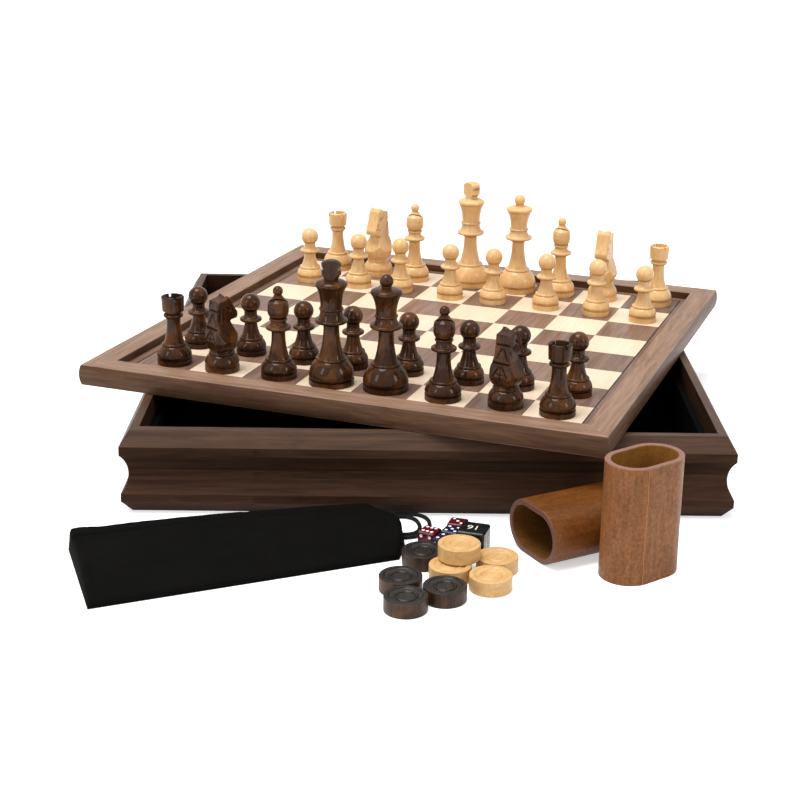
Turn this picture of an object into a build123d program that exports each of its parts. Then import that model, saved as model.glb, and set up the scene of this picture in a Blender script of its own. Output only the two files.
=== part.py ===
from build123d import *
import os
from dataclasses import dataclass
from math import cos, radians, sin, sqrt, tan

# A wooden games compendium: a moulded square box with a black lining, and a
# reversible games board laid crosswise on its rim. The top of the board is a
# chessboard set out with 32 turned men; its underside is a backgammon table.
# In front of the box lie a drawstring pouch with two cord loops, eight
# draughts, four dice, a doubling cube and two shaking cups.
#
# Frame: millimetres, +Z up, origin at the middle of the box's underside,
# +X to the right along the box's front, +Y towards its back.


@dataclass
class Turning:
    """Radii of a turned man, and the heights at which he has them."""

    foot: float              # the disc that he stands on
    ring: float              # ring on the shoulder of his foot
    ring_height: float
    stem_foot: float         # bottom of the stem
    stem: float              # top of the stem
    collar: float            # flared collar on the stem
    collar_height: float
    neck: float              # neck above the collar
    neck_height: float


# ---------------------------------------------------------------- the board
SQUARE = 38.0            # side of one chess square
FILES = 8                # squares along each side
STRING_WIDTH = 1.0       # dark line round the field
BORDER_WIDTH = 5.8       # walnut strip between that line and the rails
RAIL_WIDTH = 18.2        # rail, from its inner wall to the crown of its edge
RAIL_CROWN = 1.2         # how far the outer edge swells at mid height
RAIL_EASE = 0.8          # rounding of the rail's long edges
BOARD_THICKNESS = 14.0
CORE_THICKNESS = 2.0     # plywood core of the panel
VENEER = 0.5             # veneer on each face of the core
TONGUE = 5.0             # how far the core runs into the rails' groove
GROOVE_FIT = 0.1         # clearance round the core in the groove
BOARD_TURN = -20.3       # the board lies turned on the box, degrees
BOARD_SHIFT = (-0.6, 2.4)

POINTS_PER_TABLE = 6     # backgammon points along one edge of one table
POINT_LENGTH = 128.0
POINT_GAP = 1.0          # between the feet of two points
BAR_WIDTH = 22.0         # strip between the two tables

# ------------------------------------------------------------------ the box
BOARD_CLEARANCE = 0.75   # between the board's crown and the box's opening
RIM_WIDTH = 5.25         # flat top of the walls
BOX_HEIGHT = 53.3
MOULDING_PROUD = 6.0     # how far the moulding stands out past the rim
RIM_BEVEL = 9.6          # height of the long bevel under the rim
LIP_HEIGHT = 5.5         # upright lip under the bevel
COVE_DEPTH = 4.6         # hollow of the cove
BEAD_TOP = 13.0          # height of the foot moulding's upper edge
BEAD_BOTTOM = 8.0        # height where its bottom bevel starts
MOULDING_EASE = 0.5      # rounding of the moulding's edges
FLOOR_THICKNESS = 4.0
FLOOR_REBATE = 3.0       # the floor panel's seat in the walls
FLOOR_FIT = 0.1
LINER_THICKNESS = 4.5    # black side liners, which also carry the board
FELT_THICKNESS = 1.0

# ------------------------------------------------------------ the chess men
FOOT_DISC = 3.9          # height of the lowest disc of every man
FOOT_GROOVE = 0.7        # width and depth of the groove above it
BULB_SWELL = 0.11        # roundness of the bell above the groove
EDGE_EASE = 0.4          # small roundings and fillets of the turned men
BEAD = 0.9               # half height of the small turned rings
STEM_HOLLOW = 0.045      # hollow of a stem's outline, over its height
COLLAR_STEP = 0.5        # step on top of a collar
COLLAR_EDGE = 1.3        # half thickness of its rounded edge
CROWN_RIM = 1.6          # half thickness of the crowns' rims

KING = Turning(14.7, 10.4, 17.1, 8.4, 5.1, 10.6, 42.2, 7.0, 49.0)
KING_CROWN = 10.4
KING_CROWN_HEIGHT = 65.8
KING_HEIGHT = 81.6
CROSS_STALK = 4.5        # radius of the stalk under the cross
CROSS_STALK_HEIGHT = 12.6
CROSS_ARM = 6.4          # reach of the arms
CROSS_DEPTH = 8.4        # thickness of the cross
CROSS_NOTCH = 2.0        # depth of the notches over its arms
CROSS_NOTCH_DROP = 5.0   # the notches below the king's top

QUEEN = Turning(14.7, 9.8, 17.2, 7.9, 5.0, 10.5, 42.2, 6.6, 47.9)
QUEEN_CROWN = 10.2
QUEEN_CROWN_HEIGHT = 64.0
QUEEN_BALL = 4.4
QUEEN_STUB = 1.2         # height of the little neck under the ball
QUEEN_HEIGHT = 75.7

BISHOP = Turning(11.7, 9.0, 12.2, 7.0, 4.5, 8.2, 33.4, 5.0, 38.1)
BISHOP_HEAD = 6.8
BISHOP_HEAD_HEIGHT = 46.6
BISHOP_BALL = 3.3
BISHOP_HEIGHT = 60.9
MITRE_CUT = 0.9          # width of the saw cut in the mitre
MITRE_RADIUS = 6.3       # of the head at the cut
MITRE_HEIGHT = 50.6      # of the cut's middle
MITRE_SLANT = 30.0

ROOK = Turning(11.4, 8.4, 13.3, 6.8, 4.7, 6.5, 32.9, 5.8, 35.2)
ROOK_TOWER = 7.5
ROOK_TOWER_FOOT = 36.1   # height where the tower starts
ROOK_HEIGHT = 45.8
ROOK_BOWL = 5.2          # radius of the hollow in the tower's top
ROOK_BOWL_DEPTH = 2.4
CRENEL_WIDTH = 1.6
CRENEL_COUNT = 4

KNIGHT_FOOT = 11.3
KNIGHT_RING = 8.7
KNIGHT_RING_HEIGHT = 12.2
KNIGHT_SEAT = 14.0       # height where the carved body starts
KNIGHT_BARREL = 10.8     # radius of the blank that the body is carved from
KNIGHT_BARREL_HEIGHT = 20.6
KNIGHT_CHEST = 10.2      # half width of the body at its widest
KNIGHT_HEAD = 5.2        # half width of the head
KNIGHT_MUZZLE = 9.8      # reach of the muzzle
KNIGHT_MUZZLE_DEPTH = 4.0
KNIGHT_THROAT = 3.8      # reach of the throat behind the muzzle
KNIGHT_CROUP = 9.2       # reach of the back at its widest
KNIGHT_BACK = 5.6        # the top of the back behind the middle
KNIGHT_EAR = 2.4         # height of the ears over the head
DARK_KNIGHT = (50.6, 34.4)   # height, and height of the throat
LIGHT_KNIGHT = (54.8, 32.4)

PAWN = Turning(10.1, 8.2, 11.2, 6.7, 4.2, 7.4, 24.2, 4.3, 28.2)
PAWN_BALL = 6.6
PAWN_HEIGHT = 41.8

# --------------------------------------------------------- the loose pieces
CHECKER_RADIUS = 12.3
CHECKER_THICKNESS = 9.0
CHECKER_DISH = 0.9       # depth of the turned hollow in both faces
CHECKER_RIM = 2.6        # flat rim round the hollow
CHECKER_EASE = 0.5
STACK_SHIFT = (5.2, 9.4)  # the stacked draught off the one under it

DIE_SIDE = 11.0
DIE_ROUND = 1.3
PIP_RADIUS = 1.0
PIP_DEPTH = 0.35
PIP_SPACING = 2.8
CUBE_SIDE = 17.0
CUBE_ROUND = 1.6

CUP_WIDTH = 33.0         # across the flat sides
CUP_LENGTH = 50.0        # across the round ends
CUP_HEIGHT = 71.0
CUP_WALL = 3.5
CUP_FLOOR = 4.0
CUP_EASE = 0.6

POUCH_THICKNESS = 12.0
POUCH_ROUND = 4.0        # rounding of the pouch's upper edges
CORD_RADIUS = 1.25

# The pieces on the table are laid out step by step, each beside another:
# piece, its neighbour, heading of the step, gap between them, own turn.
FIRST_DIE = (16.5, -30.9, -17.0)  # across, from the box's front, turn
STEPS = [
    ("die_blue_back", "die_red_back", -107.1, 1.2, -25.0),
    ("die_red_left", "die_blue_back", -174.9, 0.5, -29.0),
    ("die_blue_front", "die_blue_back", -112.2, 1.8, -37.0),
    ("doubling_cube", "die_blue_front", 2.4, 0.8, -17.0),
    ("checker_dark_back", "die_blue_front", -133.2, 0.5, 0),
    ("checker_light_base", "checker_dark_back", -52.0, 0.3, 0),
    ("checker_light_back", "checker_light_base", 24.2, 5.4, 0),
    ("checker_light_front", "checker_light_back", -101.0, 0.9, 0),
    ("checker_dark_left", "checker_dark_back", -110.4, 12.0, 0),
    ("checker_dark_right", "checker_light_base", -97.4, 2.5, 0),
    ("checker_dark_front", "checker_dark_right", -148.8, 0.7, 0),
]
DICE = {  # the numbers on the top and on the side towards the viewer
    "die_red_back": (3, 1),
    "die_blue_back": (5, 4),
    "die_red_left": (6, 4),
    "die_blue_front": (4, 5),
}
LYING_TURN = 28.7        # heading of the lying cup, from its mouth
LYING_BOX_GAP = 2.3      # from the cup to the box's front
LYING_CUBE_GAP = 13.5    # from the doubling cube to the cup's mouth
STANDING_TURN = 36.0
STANDING_GAP = 0.9       # between the two cups
STANDING_ALONG = 0.64    # how far along the lying cup the other one stands

# The pouch and its two drawstring loops, from the drawn corner of its mouth.
POUCH_GAP = 1.1          # from the nearest draught to the pouch
POUCH_SETBACK = 24.5     # its mouth's corner from the box's front
POUCH_OUTLINE = [
    (0, 0),
    (-33.2, 21.5),
    (-190.8, -38.0),
    (-168.2, -107.0),
    (0, -39.1),
]
CORD_LOOPS = [
    [
        (-13.2, 8.549),
        (-9.612, 14.089),
        (-4.6, 20.4),
        (2.4, 22.2),
        (8.8, 18.6),
        (11.4, 11.8),
        (12.2, 5.0),
        (10.4, -1.9),
        (5.6, -5.4),
        (0, -5.4),
    ],
    [
        (-20.2, 13.082),
        (-16.395, 18.958),
        (-8.2, 25.0),
        (1.6, 26.3),
        (11.6, 25.2),
        (17.2, 18.4),
        (18.2, 9.0),
        (17.0, 0.0),
        (11.6, -7.0),
        (4.4, -10.0),
        (0, -10.0),
    ],
]

# Where each man stands: kind, file, rank, and how far off his square's middle.
DARK_MEN = [
    ("rook", 0, 0, 2.8, -0.6),
    ("knight", 1, 0, 0.3, -2.0),
    ("bishop", 2, 0, 2.3, -0.4),
    ("king", 3, 0, 0.9, 0.5),
    ("queen", 4, 0, -0.6, 3.0),
    ("bishop", 5, 0, 1.6, -0.9),
    ("knight", 6, 0, 4.3, 1.4),
    ("rook", 7, 0, 0.7, -1.2),
    ("pawn", 0, 1, 0.5, 1.4),
    ("pawn", 1, 1, 2.4, -0.2),
    ("pawn", 2, 1, 4.3, -2.6),
    ("pawn", 3, 1, 0.9, -0.6),
    ("pawn", 4, 1, 1.7, 0.9),
    ("pawn", 5, 1, 6.0, -0.7),
    ("pawn", 6, 1, 1.9, 0.6),
    ("pawn", 7, 1, 1.9, 2.0),
]
LIGHT_MEN = [
    ("pawn", 0, 6, 1.1, -1.0),
    ("pawn", 1, 6, 4.6, -2.2),
    ("pawn", 2, 6, 1.4, -2.5),
    ("pawn", 3, 6, 4.8, -4.3),
    ("pawn", 4, 6, 1.3, -4.2),
    ("pawn", 5, 6, 4.5, -3.0),
    ("pawn", 6, 6, 5.8, -3.8),
    ("pawn", 7, 6, 4.0, -6.7),
    ("rook", 0, 7, 6.8, 4.1),
    ("knight", 1, 7, 5.8, -1.0),
    ("bishop", 2, 7, -0.6, -3.4),
    ("king", 3, 7, 6.8, -0.6),
    ("queen", 4, 7, 8.1, -1.5),
    ("bishop", 5, 7, 4.2, -0.6),
    ("knight", 6, 7, 0.1, 0.8),
    ("rook", 7, 7, 4.1, 3.3),
]
# Turn of the men that are not round, from facing away along the files.
FACING = {
    "dark_knight_2": -30.0,
    "dark_knight_7": -14.0,
    "light_knight_2": 162.0,
    "light_knight_7": 176.0,
    "dark_king_4": 17.0,
    "light_king_4": -24.0,
    "dark_bishop_3": 24.0,
    "dark_bishop_6": 17.0,
    "light_bishop_3": 8.0,
    "light_bishop_6": -2.0,
}

# ----------------------------------------------------------- worked-out sizes
FIELD_HALF = FILES * SQUARE / 2
STRING_HALF = FIELD_HALF + STRING_WIDTH
RAIL_INNER = STRING_HALF + BORDER_WIDTH
BOARD_HALF = RAIL_INNER + RAIL_WIDTH
OPENING_HALF = BOARD_HALF + BOARD_CLEARANCE
RIM_HALF = OPENING_HALF + RIM_WIDTH
MOULDING_HALF = RIM_HALF + MOULDING_PROUD
LINER_INNER = OPENING_HALF - LINER_THICKNESS
LINER_TOP = BOX_HEIGHT - BOARD_THICKNESS
BOARD_TOP = BOARD_THICKNESS / 2          # above the board's middle plane
CORE_TOP = CORE_THICKNESS / 2
PLAY_LEVEL = CORE_TOP + VENEER
ON_BOX = Location((*BOARD_SHIFT, BOX_HEIGHT + BOARD_TOP), (0, 0, BOARD_TURN))
REACH = 2 * MOULDING_HALF                # longer than any piece is wide
BALL_ARC = 1 - 1 / sqrt(2)               # sagitta of a quarter circle, over its radius


# ------------------------------------------------------------ shared helpers
def outline(points):
    """A closed face from corners (x, y, swell), taken anticlockwise.

    Swell is how far the edge that ends in the corner bulges outwards."""
    edges = []
    for before, after in zip(points[-1:] + points[:-1], points):
        if after[2]:
            edges.append(SagittaArc(before[:2], after[:2], -after[2]))
        else:
            edges.append(Line(before[:2], after[:2]))
    return make_face(edges)


def turned(profile):
    """Turns corners (radius, height, swell), from the bottom up, on a lathe."""
    foot = [(0, profile[0][1], 0)]
    top = [] if profile[-1][0] == 0 else [(0, profile[-1][1], 0)]
    return revolve(Plane.XZ * outline(foot + profile + top), Axis.Z)


def mitred(section):
    """Runs a section round a square: right, back, left and front length."""
    length = extrude(Plane.XZ * section, REACH, both=True)
    corner = make_face(Polyline((0, 0), (REACH, -REACH), (REACH, REACH), close=True))
    side = (length & extrude(corner, REACH, both=True)).solid()
    return [Rot(0, 0, 90 * number) * side for number in range(4)]


def plate(half, thickness, bottom):
    """A square sheet about the Z axis."""
    return Pos(0, 0, bottom + thickness / 2) * Box(2 * half, 2 * half, thickness)


def save(name, shapes):
    """Writes one node, whose file name is the node's name."""
    solids = [solid for shape in shapes for solid in shape.solids()]
    node = solids[0] if len(solids) == 1 else Compound(children=solids)
    export_step(node, f"parts/{name}.step")


# ------------------------------------------------------------------- the box
def box_walls():
    """Each wall is one mitred length of the same moulding."""
    lip_top = BOX_HEIGHT - RIM_BEVEL
    rebate = OPENING_HALF + FLOOR_REBATE + FLOOR_FIT
    section = outline([
        (rebate, FLOOR_THICKNESS, 0),
        (rebate, 0, 0),
        (RIM_HALF, 0, 0),
        (MOULDING_HALF, BEAD_BOTTOM, 0),
        (MOULDING_HALF, BEAD_TOP, 0),
        (MOULDING_HALF, lip_top - LIP_HEIGHT, -COVE_DEPTH),
        (MOULDING_HALF, lip_top, 0),
        (RIM_HALF, BOX_HEIGHT, 0),
        (OPENING_HALF, BOX_HEIGHT, 0),
        (OPENING_HALF, FLOOR_THICKNESS, 0),
    ])
    outer = section.vertices().filter_by(lambda v: v.X > rebate and v.Y > 0)
    return mitred(fillet(outer, MOULDING_EASE))


def box_floor():
    return plate(OPENING_HALF + FLOOR_REBATE, FLOOR_THICKNESS, 0)


def box_lining():
    """Four mitred liners round the inside, and a felt sheet between them."""
    section = outline([
        (LINER_INNER, LINER_TOP, 0),
        (LINER_INNER, FLOOR_THICKNESS, 0),
        (OPENING_HALF, FLOOR_THICKNESS, 0),
        (OPENING_HALF, LINER_TOP, 0),
    ])
    return mitred(section) + [plate(LINER_INNER - FLOOR_FIT, FELT_THICKNESS, FLOOR_THICKNESS)]


# ----------------------------------------------------------------- the board
def board_frame():
    """Four mitred rails, grooved inside for the core and swollen outside."""
    edge = BOARD_HALF - RAIL_CROWN
    groove = CORE_TOP + GROOVE_FIT
    groove_end = RAIL_INNER + TONGUE + GROOVE_FIT
    section = outline([
        (RAIL_INNER, BOARD_TOP, 0),
        (RAIL_INNER, groove, 0),
        (groove_end, groove, 0),
        (groove_end, -groove, 0),
        (RAIL_INNER, -groove, 0),
        (RAIL_INNER, -BOARD_TOP, 0),
        (edge, -BOARD_TOP, 0),
        (edge, BOARD_TOP, RAIL_CROWN),
    ])
    corners = section.vertices().filter_by(lambda v: abs(v.Y) > groove)
    return mitred(fillet(corners, RAIL_EASE))


def board_core():
    return plate(RAIL_INNER + TONGUE, CORE_THICKNESS, -CORE_TOP)


def square_veneer(colour):
    """The squares of one colour, edge to edge with those of the other."""
    return [
        Pos((file + 0.5) * SQUARE - FIELD_HALF, (rank + 0.5) * SQUARE - FIELD_HALF, CORE_TOP + VENEER / 2)
        * Box(SQUARE, SQUARE, VENEER)
        for file in range(FILES)
        for rank in range(FILES)
        if (file + rank) % 2 == colour
    ]


def veneer_ring(inner, outer):
    """Four mitred strips of veneer round the field."""
    return mitred(outline([
        (inner, PLAY_LEVEL, 0),
        (inner, CORE_TOP, 0),
        (outer, CORE_TOP, 0),
        (outer, PLAY_LEVEL, 0),
    ]))


def backgammon_points(colour):
    """The long triangles of one colour, inlaid in the underside."""
    pitch = (RAIL_INNER - BAR_WIDTH / 2) / POINTS_PER_TABLE
    foot = (pitch - POINT_GAP) / 2
    points = []
    for number in range(2 * POINTS_PER_TABLE):
        column = number % POINTS_PER_TABLE
        table = 1 if number < POINTS_PER_TABLE else -1
        middle = table * (BAR_WIDTH / 2 + (column + 0.5) * pitch)
        for side in (-1, 1):
            if (column + (table > 0) + (side > 0)) % 2 == colour:
                base = side * RAIL_INNER
                corners = [(middle - foot, base), (middle + foot, base), (middle, base - side * POINT_LENGTH)]
                face = Pos(0, 0, -PLAY_LEVEL) * make_face(Polyline(*corners, close=True))
                points.append(extrude(face, VENEER, dir=(0, 0, 1)))
    return points


def backgammon_field():
    """The underside's walnut sheet, cut out for all its points."""
    return plate(RAIL_INNER, VENEER, -PLAY_LEVEL) - backgammon_points(0) - backgammon_points(1)


# ------------------------------------------------------------ the chess men
def foot(radius, ring, ring_height):
    """The start of every man's outline: disc, groove, bulb and ring."""
    bulb = FOOT_DISC + 3 * FOOT_GROOVE
    rise = ring_height - BEAD - bulb
    return [
        (radius - EDGE_EASE, 0, 0),
        (radius, EDGE_EASE, BALL_ARC * EDGE_EASE),
        (radius, FOOT_DISC - EDGE_EASE, 0),
        (radius - FOOT_GROOVE, FOOT_DISC, 0),
        (radius - FOOT_GROOVE, FOOT_DISC + FOOT_GROOVE, 0),
        (radius, bulb, FOOT_GROOVE / 3),
        (ring - BEAD / 2, ring_height - BEAD, BULB_SWELL * rise),
        (ring - BEAD, ring_height + BEAD, BEAD / 2),
    ]


def stem(man):
    """A man's foot, his tapering stem, and the flared collar on top of it."""
    stem_height = man.collar_height - COLLAR_EDGE - (man.collar - man.stem) / 3
    edge = man.collar - COLLAR_EDGE
    return foot(man.foot, man.ring, man.ring_height) + [
        (man.stem_foot, man.ring_height + BEAD, 0),
        (man.stem, stem_height, -STEM_HOLLOW * (stem_height - man.ring_height)),
        (edge, man.collar_height - COLLAR_EDGE, -EDGE_EASE),
        (edge, man.collar_height + COLLAR_EDGE, COLLAR_EDGE),
        (edge - COLLAR_STEP, man.collar_height + COLLAR_EDGE, 0),
        (man.neck, man.neck_height, -EDGE_EASE),
    ]


def neck_ring(man):
    """The ring over the neck, and the height where it ends."""
    top = man.neck_height + 2 * BEAD
    return [(man.neck, top, BEAD)], top


def crown(radius, height, top):
    """The flared bowl of a king or queen: its rim, its lip and its dome."""
    return [
        (radius - BEAD, height - CROWN_RIM, -2 * EDGE_EASE),
        (radius - BEAD, height + CROWN_RIM, BEAD),
        (*top, EDGE_EASE),
    ]


def king():
    stalk_height = KING_HEIGHT - CROSS_STALK_HEIGHT
    ring, _ = neck_ring(KING)
    dome = (CROSS_STALK, stalk_height)
    body = turned(stem(KING) + ring + crown(KING_CROWN, KING_CROWN_HEIGHT, dome))
    notch = KING_HEIGHT - CROSS_NOTCH_DROP
    blank = turned([
        (CROSS_STALK, stalk_height - BEAD, 0),
        (CROSS_STALK, stalk_height, 0),
        (CROSS_ARM, notch - 2 * CROSS_NOTCH, -EDGE_EASE),
        (CROSS_ARM, KING_HEIGHT - CROSS_NOTCH, 0),
        (0, KING_HEIGHT, CROSS_NOTCH / 2),
    ])
    slab = Pos(0, 0, KING_HEIGHT) * Box(2 * CROSS_ARM, CROSS_DEPTH, KING_HEIGHT)
    wedge = outline([
        (CROSS_ARM - CROSS_NOTCH, notch, 0),
        (2 * CROSS_ARM, notch - CROSS_ARM, 0),
        (2 * CROSS_ARM, notch + CROSS_ARM, 0),
    ])
    cut = extrude(Plane.XZ * wedge, CROSS_DEPTH, both=True)
    return body + ((blank & slab) - cut - Rot(0, 0, 180) * cut)


def queen():
    ring, _ = neck_ring(QUEEN)
    middle = QUEEN_HEIGHT - QUEEN_BALL
    low = QUEEN_BALL / sqrt(2)
    dome = (low, middle - low - QUEEN_STUB)
    return turned(stem(QUEEN) + ring + crown(QUEEN_CROWN, QUEEN_CROWN_HEIGHT, dome) + [
        (low, middle - low, 0),
        (QUEEN_BALL, middle, (1 - cos(radians(22.5))) * QUEEN_BALL),
        (0, QUEEN_HEIGHT, BALL_ARC * QUEEN_BALL),
    ])


def bishop():
    ring, ring_top = neck_ring(BISHOP)
    middle = BISHOP_HEIGHT - BISHOP_BALL
    low = BISHOP_BALL / sqrt(2)
    body = turned(stem(BISHOP) + ring + [
        (BISHOP_HEAD, BISHOP_HEAD_HEIGHT, 2 * EDGE_EASE),
        (MITRE_RADIUS, MITRE_HEIGHT, EDGE_EASE / 2),
        (low, middle - low, -EDGE_EASE / 2),
        (BISHOP_BALL, middle, (1 - cos(radians(22.5))) * BISHOP_BALL),
        (0, BISHOP_HEIGHT, BALL_ARC * BISHOP_BALL),
    ])
    blade = Pos(0, -BISHOP_HEAD, 0) * Box(4 * BISHOP_HEAD, 2 * BISHOP_HEAD, MITRE_CUT)
    return body - Pos(0, 0, MITRE_HEIGHT) * Rot(-MITRE_SLANT, 0, 0) * blade


def rook():
    tower = turned(stem(ROOK) + [
        (ROOK.neck, ROOK_TOWER_FOOT, 0),
        (ROOK_TOWER - EDGE_EASE, ROOK_TOWER_FOOT, 0),
        (ROOK_TOWER, ROOK_HEIGHT - EDGE_EASE, 0),
        (ROOK_TOWER - EDGE_EASE, ROOK_HEIGHT, 0),
        (ROOK_BOWL, ROOK_HEIGHT, 0),
        (ROOK_BOWL, ROOK_HEIGHT - ROOK_BOWL_DEPTH, 0),
    ])
    slot = Pos(ROOK_TOWER, 0, ROOK_HEIGHT) * Box(2 * ROOK_BOWL, CRENEL_WIDTH, 2 * ROOK_BOWL_DEPTH)
    for number in range(CRENEL_COUNT):
        tower -= Rot(0, 0, 360 / CRENEL_COUNT * (number + 0.5)) * slot
    return tower


def knight(height, throat_height):
    """A turned foot, and a body carved out of the round, facing +Y."""
    neck = KNIGHT_RING - 2 * BEAD
    pedestal = turned(foot(KNIGHT_FOOT, KNIGHT_RING, KNIGHT_RING_HEIGHT) + [(neck, KNIGHT_SEAT + BEAD, 0)])
    brow = height - KNIGHT_EAR
    chin = throat_height + BEAD
    side = outline([
        (-neck, KNIGHT_SEAT, 0),
        (neck, KNIGHT_SEAT, 0),
        (KNIGHT_BARREL, KNIGHT_BARREL_HEIGHT, BEAD),
        (KNIGHT_THROAT, throat_height, -BEAD / 2),
        (KNIGHT_MUZZLE - BEAD, chin, 0),
        (KNIGHT_MUZZLE, chin + KNIGHT_MUZZLE_DEPTH, BEAD / 2),
        (KNIGHT_HEAD, brow - BEAD, -BEAD / 2),
        (KNIGHT_HEAD / 2, height, 0),
        (-BEAD, brow, -BEAD / 2),
        (-KNIGHT_BACK, brow - BEAD, 0),
        (-KNIGHT_CROUP, KNIGHT_BARREL_HEIGHT, -BEAD / 2),
    ])
    front = outline([
        (-neck, KNIGHT_SEAT, 0),
        (neck, KNIGHT_SEAT, 0),
        (KNIGHT_CHEST, KNIGHT_BARREL_HEIGHT, BEAD / 2),
        (KNIGHT_HEAD, throat_height, -BEAD / 2),
        (KNIGHT_HEAD, height, 0),
        (-KNIGHT_HEAD, height, 0),
        (-KNIGHT_HEAD, throat_height, 0),
        (-KNIGHT_CHEST, KNIGHT_BARREL_HEIGHT, -BEAD / 2),
    ])
    blank = turned([
        (neck + BEAD, KNIGHT_SEAT, 0),
        (KNIGHT_BARREL, KNIGHT_BARREL_HEIGHT, BEAD),
        (KNIGHT_BARREL, height, 0),
    ])
    from_side = extrude(Plane.YZ * side, KNIGHT_FOOT, both=True)
    from_front = extrude(Plane.XZ * front, KNIGHT_FOOT, both=True)
    ear_gap = outline([
        (0, brow, 0),
        (KNIGHT_HEAD, height + KNIGHT_EAR, 0),
        (-KNIGHT_HEAD, height + KNIGHT_EAR, 0),
    ])
    body = (blank & from_side & from_front) - extrude(Plane.XZ * ear_gap, KNIGHT_FOOT, both=True)
    return pedestal + body


def pawn():
    middle = PAWN_HEIGHT - PAWN_BALL
    low = sqrt(PAWN_BALL**2 - PAWN.neck**2)
    ball = Pos(0, 0, middle) * Sphere(PAWN_BALL)
    return turned(stem(PAWN) + [(PAWN.neck, middle - low + BEAD, 0)]) + ball


MEN = {"king": king, "queen": queen, "bishop": bishop, "rook": rook, "pawn": pawn}


def on_square(file, rank, off_file, off_rank, turn):
    """A man's place: he stands on the veneer of the turned board."""
    x = (file + 0.5) * SQUARE - FIELD_HALF + off_file
    y = (rank + 0.5) * SQUARE - FIELD_HALF + off_rank
    return ON_BOX * Pos(x, y, PLAY_LEVEL) * Rot(0, 0, turn)


# --------------------------------------------------------- the loose pieces
def checker():
    """A draught with the same turned hollow and ring in both faces."""
    hollow = CHECKER_RADIUS - CHECKER_RIM
    face = [
        (CHECKER_RADIUS, -CHECKER_EASE, 0),
        (CHECKER_RADIUS - CHECKER_EASE, 0, BALL_ARC * CHECKER_EASE),
        (hollow, 0, 0),
        (0.7 * hollow, -CHECKER_DISH, -CHECKER_DISH / 3),
        (0.6 * hollow, -CHECKER_DISH / 3, 0),
        (0.5 * hollow, -CHECKER_DISH, 0),
    ]
    top = [(radius, CHECKER_THICKNESS + height, swell) for radius, height, swell in face]
    swells = [0] + [swell for _, _, swell in reversed(face)][:-1]
    bottom = [(radius, -height, swell) for (radius, height, _), swell in zip(reversed(face), swells)]
    return turned(bottom + top)


def pip_places(number):
    """The columns and rows of one face's pips."""
    places = [(0, 0)] if number % 2 else []
    places += [(-1, 1), (1, -1)] if number > 1 else []
    places += [(1, 1), (-1, -1)] if number > 3 else []
    places += [(0, 1), (0, -1)] if number == 6 else []
    return places


def die(top, front):
    """A die showing the given numbers; opposite faces add up to seven."""
    half = DIE_SIDE / 2
    side = next(number for number in (1, 2, 3) if number not in (top, 7 - top, front, 7 - front))
    faces = {
        top: (0, 0, 0),
        7 - top: (180, 0, 0),
        front: (90, 0, 0),
        7 - front: (-90, 0, 0),
        side: (0, 90, 0),
        7 - side: (0, -90, 0),
    }
    ball = (PIP_RADIUS**2 + PIP_DEPTH**2) / (2 * PIP_DEPTH)
    cube = fillet(Box(DIE_SIDE, DIE_SIDE, DIE_SIDE).edges(), DIE_ROUND)
    for number, turn in faces.items():
        for column, row in pip_places(number):
            place = Pos(column * PIP_SPACING, row * PIP_SPACING, half - PIP_DEPTH + ball)
            cube -= Rot(*turn) * place * Sphere(ball)
    return Pos(0, 0, half) * cube


def doubling_cube():
    cube = fillet(Box(CUBE_SIDE, CUBE_SIDE, CUBE_SIDE).edges(), CUBE_ROUND)
    return Pos(0, 0, CUBE_SIDE / 2) * cube


def cup():
    """A shaking cup of oblong section, standing on its bottom."""
    bore = SlotOverall(CUP_LENGTH - 2 * CUP_WALL, CUP_WIDTH - 2 * CUP_WALL)
    shell = extrude(SlotOverall(CUP_LENGTH, CUP_WIDTH), CUP_HEIGHT)
    shell -= Pos(0, 0, CUP_FLOOR) * extrude(bore, CUP_HEIGHT)
    return fillet(shell.edges().group_by(Axis.Z)[-1], CUP_EASE)


def pouch():
    """The soft pouch as a plain cushion of its own outline."""
    cushion = extrude(make_face(Polyline(*POUCH_OUTLINE, close=True)), POUCH_THICKNESS)
    return fillet(cushion.edges().group_by(Axis.Z)[-1], POUCH_ROUND)


def cord_radii(points):
    """The arc at each corner of a route, as large as its two runs allow."""
    radii = []
    for before, here, after in zip(points, points[1:], points[2:]):
        arrival = Vector(*here) - Vector(*before)
        departure = Vector(*after) - Vector(*here)
        half_turn = radians(arrival.get_angle(departure) / 2)
        radii.append(0.45 * min(arrival.length, departure.length) / tan(half_turn))
    return radii


def cord(route):
    """One drawstring loop: straight runs joined by tangent arcs."""
    points = [(x, y, CORD_RADIUS) for x, y in route]
    radii = cord_radii(points)
    path = FilletPolyline(*points, radius=radii)
    tube = sweep(Plane(origin=path @ 0, z_dir=path % 0) * Circle(CORD_RADIUS), path)
    print("cord length", round(path.length, 1), "radii", [round(radius, 1) for radius in radii])
    return tube


# ----------------------------------------------------- the layout on the table
def reach(name, heading, turn):
    """How far a piece reaches from its middle along a heading."""
    if name.startswith("checker"):
        return CHECKER_RADIUS
    half = (CUBE_SIDE if name == "doubling_cube" else DIE_SIDE) / 2
    angle = radians(heading - turn)
    return half / max(abs(cos(angle)), abs(sin(angle)))


def table_layout():
    """Each small piece's place (x, y, turn), worked out from its neighbour."""
    across, setback, turn = FIRST_DIE
    places = {"die_red_back": (across, setback - MOULDING_HALF, turn)}
    for name, neighbour, heading, gap, turn in STEPS:
        x, y, neighbour_turn = places[neighbour]
        step = reach(neighbour, heading, neighbour_turn) + gap + reach(name, heading, turn)
        places[name] = (x + step * cos(radians(heading)), y + step * sin(radians(heading)), turn)
    return places


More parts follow.
